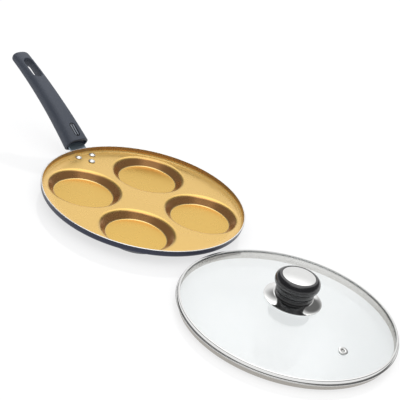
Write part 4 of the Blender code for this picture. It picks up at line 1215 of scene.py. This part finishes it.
# %% Vent hole in the glass
drill_radius = VENT_BARREL + SEAT_GAP
drill_ends = [(drill_radius, 2 * GLASS_THICKNESS), (drill_radius, -2 * GLASS_THICKNESS)]
drill = turned(drill_ends, VENT_STEPS, (0.0, 0.0))
bmesh.ops.transform(drill, matrix=vent_frame, verts=drill.verts[:])
bmesh.ops.recalc_face_normals(drill, faces=drill.faces[:])
drill_object = new_object("vent_drill", drill)
cutting = glass.modifiers.new("vent hole", "BOOLEAN")
cutting.operation = "DIFFERENCE"
cutting.solver = "EXACT"
cutting.object = drill_object
bpy.context.view_layer.objects.active = glass
bpy.ops.object.modifier_apply(modifier=cutting.name)
bpy.data.objects.remove(drill_object)
smooth(glass, GLASS_SHARP)
print("the glass with its vent hole has", len(glass.data.polygons), "faces")

# %% [markdown]
# ## Knob
#
# From the glass up: a polished rose like a shallow trumpet's mouth, a black moulding with a grooved neck
# and a bulging crown, and a polished cap let into the top. All are turned, and all share one axis.

# %% Rose
KNOB_STEPS = 128
BULGE_RADIUS = 0.0263
NECK_RADIUS = BULGE_RADIUS - 0.0041
ROSE_RADIUS = NECK_RADIUS + 0.0116
ROSE_SHEET = 0.0008
ROSE_CURVE = 1.25
ROSE_STEPS = 12
ROSE_EDGE = 0.0001
UPPER_GASKET = 0.0023
SCREW_BORE = 0.0023
rose_top = GLASS_TOP_Z + UPPER_GASKET + 2 * SEAT_GAP + ROSE_SHEET
rose_low = glass_height(ROSE_RADIUS) + SEAT_GAP
rose_edge_top = rose_low + ROSE_SHEET
shoulder = NECK_RADIUS + ROSE_SHEET

rose_outer = []
for k in range(ROSE_STEPS + 1):
    share = k / ROSE_STEPS
    drop = (rose_top - rose_edge_top) * (1 - share) ** ROSE_CURVE
    rose_outer.append((shoulder + (ROSE_RADIUS - shoulder) * share, rose_edge_top + drop))
rose_inner = [(radius - ROSE_SHEET, height - ROSE_SHEET) for radius, height in reversed(rose_outer)]
section = [(SCREW_BORE, rose_top)] + rose_outer
section += arc((ROSE_RADIUS - ROSE_EDGE, rose_edge_top - ROSE_EDGE), ROSE_EDGE, 90.0, 0.0, 2)
section += [(ROSE_RADIUS, rose_low + ROSE_EDGE), (ROSE_RADIUS - 2 * ROSE_EDGE, rose_low)]
section += rose_inner + [(SCREW_BORE, rose_top - ROSE_SHEET)]
piece(
    "polished_rose", turned(section, KNOB_STEPS, lid_axis, ring=True), [polished_steel], "lid",
    ["knob_skirt"],
)

# %% Knob and cap
KNOB_HEIGHT = 0.0252
CROWN_HEIGHT = 0.0072
SWELL_HEIGHT = 0.0065
CROWN_FLAT = 0.0008
GROOVE = 0.0006
NECK_EDGE = 0.0005
INSERT_BORE = 0.0045
INSERT_DEPTH = 0.0116
KNOB_MIDDLE_FACE = 0.0005
CAP_RADIUS = BULGE_RADIUS - 0.0069
CAP_DEPTH = 0.0010
CAP_DOME = 0.0011
CAP_EDGE = 0.0003
RECESS_EDGE = 0.0002
OVAL_STEPS = 12
knob_low = rose_top + SEAT_GAP
knob_top = knob_low + KNOB_HEIGHT
bulge_z = knob_top - CROWN_HEIGHT
neck_z = bulge_z - SWELL_HEIGHT
groove_z = (knob_low + neck_z) / 2
recess_radius = CAP_RADIUS + SEAT_GAP
recess_z = knob_top - CAP_DEPTH - SEAT_GAP
crown_in = recess_radius + CROWN_FLAT
bore_top = knob_low + INSERT_DEPTH
neck_in = NECK_RADIUS - NECK_EDGE

section = [(KNOB_MIDDLE_FACE, bore_top), (INSERT_BORE, bore_top), (INSERT_BORE, knob_low)]
section += arc((neck_in, knob_low + NECK_EDGE), NECK_EDGE, -90.0, 0.0, 4)
for height, depth in ((-1.0, 0.0), (-0.4, 0.8), (0.0, 1.0), (0.4, 0.8), (1.0, 0.0)):
    section.append((NECK_RADIUS - GROOVE * depth, groove_z + GROOVE * height))
section.append((NECK_RADIUS, neck_z))
section += arc((NECK_RADIUS, bulge_z), BULGE_RADIUS - NECK_RADIUS, -90.0, 0.0, OVAL_STEPS, SWELL_HEIGHT)[1:]
section += arc((crown_in, bulge_z), BULGE_RADIUS - crown_in, 0.0, 90.0, OVAL_STEPS, CROWN_HEIGHT)[1:]
section += [(recess_radius + RECESS_EDGE, knob_top), (recess_radius, knob_top - RECESS_EDGE)]
section += [(recess_radius, recess_z), (KNOB_MIDDLE_FACE, recess_z)]
bm = turned(section, KNOB_STEPS, lid_axis)
piece("knob_moulding", bm, [knob_black], "lid", ["knob_body"])

section = []
for k in range(1, OVAL_STEPS + 1):
    share = k / (OVAL_STEPS + 1)
    section.append((CAP_RADIUS * share, knob_top + CAP_DOME * (1 - share ** 2)))
section += arc((CAP_RADIUS - CAP_EDGE, knob_top - RECESS_EDGE), CAP_EDGE, 80.0, 0.0, 4)
section += [(CAP_RADIUS, knob_top - CAP_DEPTH), (KNOB_MIDDLE_FACE, knob_top - CAP_DEPTH)]
bm = turned(section, KNOB_STEPS, lid_axis)
piece("polished_cap", bm, [polished_steel], "lid", ["knob_cap"])

# %% [markdown]
# ## Screw stack under the knob
#
# Through the glass one sees the screw's head, its washer and the milky gaskets that keep steel off the
# glass. Insert, washer and upper gasket are plain rings, so one table gives all three. The lower gasket
# has a collar and the screw a round head, so each has its own section. The construction's own boxes give
# their radius and height.

# %% Plain rings
def plain_ring(node, bore, edge):
    """Section of a flat ring that fills its node's box, with its outer corners eased."""
    low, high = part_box(node)
    radius = (high.x - low.x) / 2
    section = [(bore, low.z), (radius - edge, low.z), (radius, low.z + edge), (radius, high.z - edge)]
    return section + [(radius - edge, high.z), (bore, high.z)]


RING_EDGE = 0.0002
RING_STEPS = 64
for node, name, material, slot in (
    ("knob_insert", "threaded_insert", turned_brass, "knob_insert"),
    ("knob_washer", "steel_washer", screw_steel, "screws"),
    ("upper_gasket", "rose_gasket", silicone, "gaskets"),
):
    bm = turned(plain_ring(node, SCREW_BORE, RING_EDGE), RING_STEPS, lid_axis, ring=True)
    piece(name, bm, [material], "lid", [node])

# %% Collar gasket
COLLAR_FLANGE = 0.0014
GASKET_EDGE = 0.0003
low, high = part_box("lower_gasket")
gasket_radius = (high.x - low.x) / 2
collar = GLASS_HOLE_RADIUS - SEAT_GAP
flange_z = low.z + COLLAR_FLANGE
section = [(SCREW_BORE, low.z), (gasket_radius - GASKET_EDGE, low.z), (gasket_radius, low.z + GASKET_EDGE)]
section += [(gasket_radius, flange_z), (collar, flange_z), (collar, high.z), (SCREW_BORE, high.z)]
bm = turned(section, RING_STEPS, lid_axis, ring=True)
piece("collar_gasket", bm, [silicone], "lid", ["lower_gasket"])

# %% Knob screw
HEAD_THICKNESS = 0.0026
HEAD_ROUND = 0.0012
SHANK = 0.0020
DRIVE_IN, DRIVE_OUT = 0.0012, 0.0015
DRIVE_DEPTH = 0.0011
SHANK_EDGE = (0.0004, 0.0003)
low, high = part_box("knob_screw")
head_radius = (high.x - low.x) / 2
head_top = low.z + HEAD_THICKNESS
section = [(DRIVE_IN, low.z + DRIVE_DEPTH), (DRIVE_OUT, low.z + DRIVE_DEPTH), (DRIVE_OUT, low.z)]
section += arc((head_radius - HEAD_ROUND, low.z + HEAD_ROUND), HEAD_ROUND, -90.0, 0.0, 6)
section += [(head_radius, head_top), (SHANK, head_top), (SHANK, high.z - SHANK_EDGE[1])]
section.append((SHANK - SHANK_EDGE[0], high.z))
piece("knob_machine_screw", turned(section, 48, lid_axis), [screw_steel], "lid", ["knob_screw"])

# %% [markdown]
# ## Floor and world
#
# The room is a white sweep. The floor catches shadows and a faint mirror image, and wherever it is seen,
# straight, mirrored or through glass, it is lifted towards white. Lamps could do the modelling, but their
# shapes would show as hard spots in the satin gold. So the world itself is the light: a soft sky that is
# brightest above and behind, and, for reflections, a long soft strip overhead, a white backdrop at the back
# and a darker front.

# %% Floor
FLOOR_SIZE = 12.0
LIFT_LEVEL = 1.06
LIFT_SHARE = 0.66
floor_material, tree, shader = new_material("pale_floor", roughness=0.08, IOR=2.4)
shader.inputs["Base Color"].default_value = (0.93, 0.93, 0.94, 1.0)
path = add(tree, "ShaderNodeLightPath")
seen = path.outputs["Is Camera Ray"]
for ray in ("Is Glossy Ray", "Is Transmission Ray"):
    seen = maths(tree, "MAXIMUM", seen, path.outputs[ray])
lift = add(tree, "ShaderNodeEmission", {"Color": (1.0, 1.0, 1.0, 1.0), "Strength": LIFT_LEVEL})
lift_share = maths(tree, "MULTIPLY", seen, LIFT_SHARE)
mixed = add(tree, "ShaderNodeMixShader", {0: lift_share, 1: shader.outputs[0], 2: lift.outputs[0]})
tree.links.new(mixed.outputs[0], tree.nodes["Material Output"].inputs["Surface"])

bm = bmesh.new()
bmesh.ops.create_grid(bm, x_segments=1, y_segments=1, size=FLOOR_SIZE / 2)
floor = new_object("floor", bm, [floor_material])
print("the floor is", FLOOR_SIZE, "m across")

# %% World
FRONT = (0.659, -0.752, 0.0)
ASIDE = (0.752, 0.659, 0.0)
LAMP_WAY = (-0.36, 0.41, 0.84)
LAMP_SPREAD = (-0.30, 0.90)
SHADE_LEVEL = 0.42
LAMP_LEVEL = 1.32
DARK_LEVEL = 0.15
STRIP_LOW = 0.93
STRIP_HIGH = 1.8
STRIP_SIDES = (0.44, 0.18)
STRIP_FRONT = (0.45, 0.25)
STRIP_RISE = (0.48, 0.80)
BACKDROP_LEVEL = 1.0
BACKDROP_TOP = (0.20, 0.06)
BACKDROP_FRONT = (0.10, -0.20)

world = bpy.data.worlds.new("white_room")
bpy.context.scene.world = world
world.use_nodes = True
tree = world.node_tree
background = tree.nodes["Background"]
path = add(tree, "ShaderNodeLightPath")
way = add(tree, "ShaderNodeTexCoord").outputs["Generated"]


def along(direction):
    """How far the looked-at direction points along another."""
    way_along = add(tree, "ShaderNodeVectorMath", {0: way, 1: direction}, operation="DOT_PRODUCT")
    return way_along.outputs["Value"]


upwards = along((0.0, 0.0, 1.0))
frontwards = along(FRONT)
sideways = maths(tree, "ABSOLUTE", along(ASIDE))
in_strip = maths(tree, "MULTIPLY", fade(tree, sideways, *STRIP_SIDES), fade(tree, frontwards, *STRIP_FRONT))
strip = fade(tree, upwards, *STRIP_RISE, STRIP_LOW, STRIP_HIGH)
in_backdrop = maths(
    tree, "MULTIPLY", fade(tree, upwards, *BACKDROP_TOP), fade(tree, frontwards, *BACKDROP_FRONT)
)
room = blend_levels(tree, in_backdrop, blend_levels(tree, in_strip, DARK_LEVEL, strip), BACKDROP_LEVEL)
diffuse = fade(tree, along(LAMP_WAY), *LAMP_SPREAD, SHADE_LEVEL, LAMP_LEVEL)
seen = maths(tree, "MAXIMUM", path.outputs["Is Camera Ray"], path.outputs["Is Transmission Ray"])
level = blend_levels(tree, seen, blend_levels(tree, path.outputs["Is Glossy Ray"], diffuse, room), 1.0)
background.inputs["Color"].default_value = (1.0, 1.0, 1.0, 1.0)
tree.links.new(level, background.inputs["Strength"])
print(world.name, "has", len(tree.nodes), "nodes")
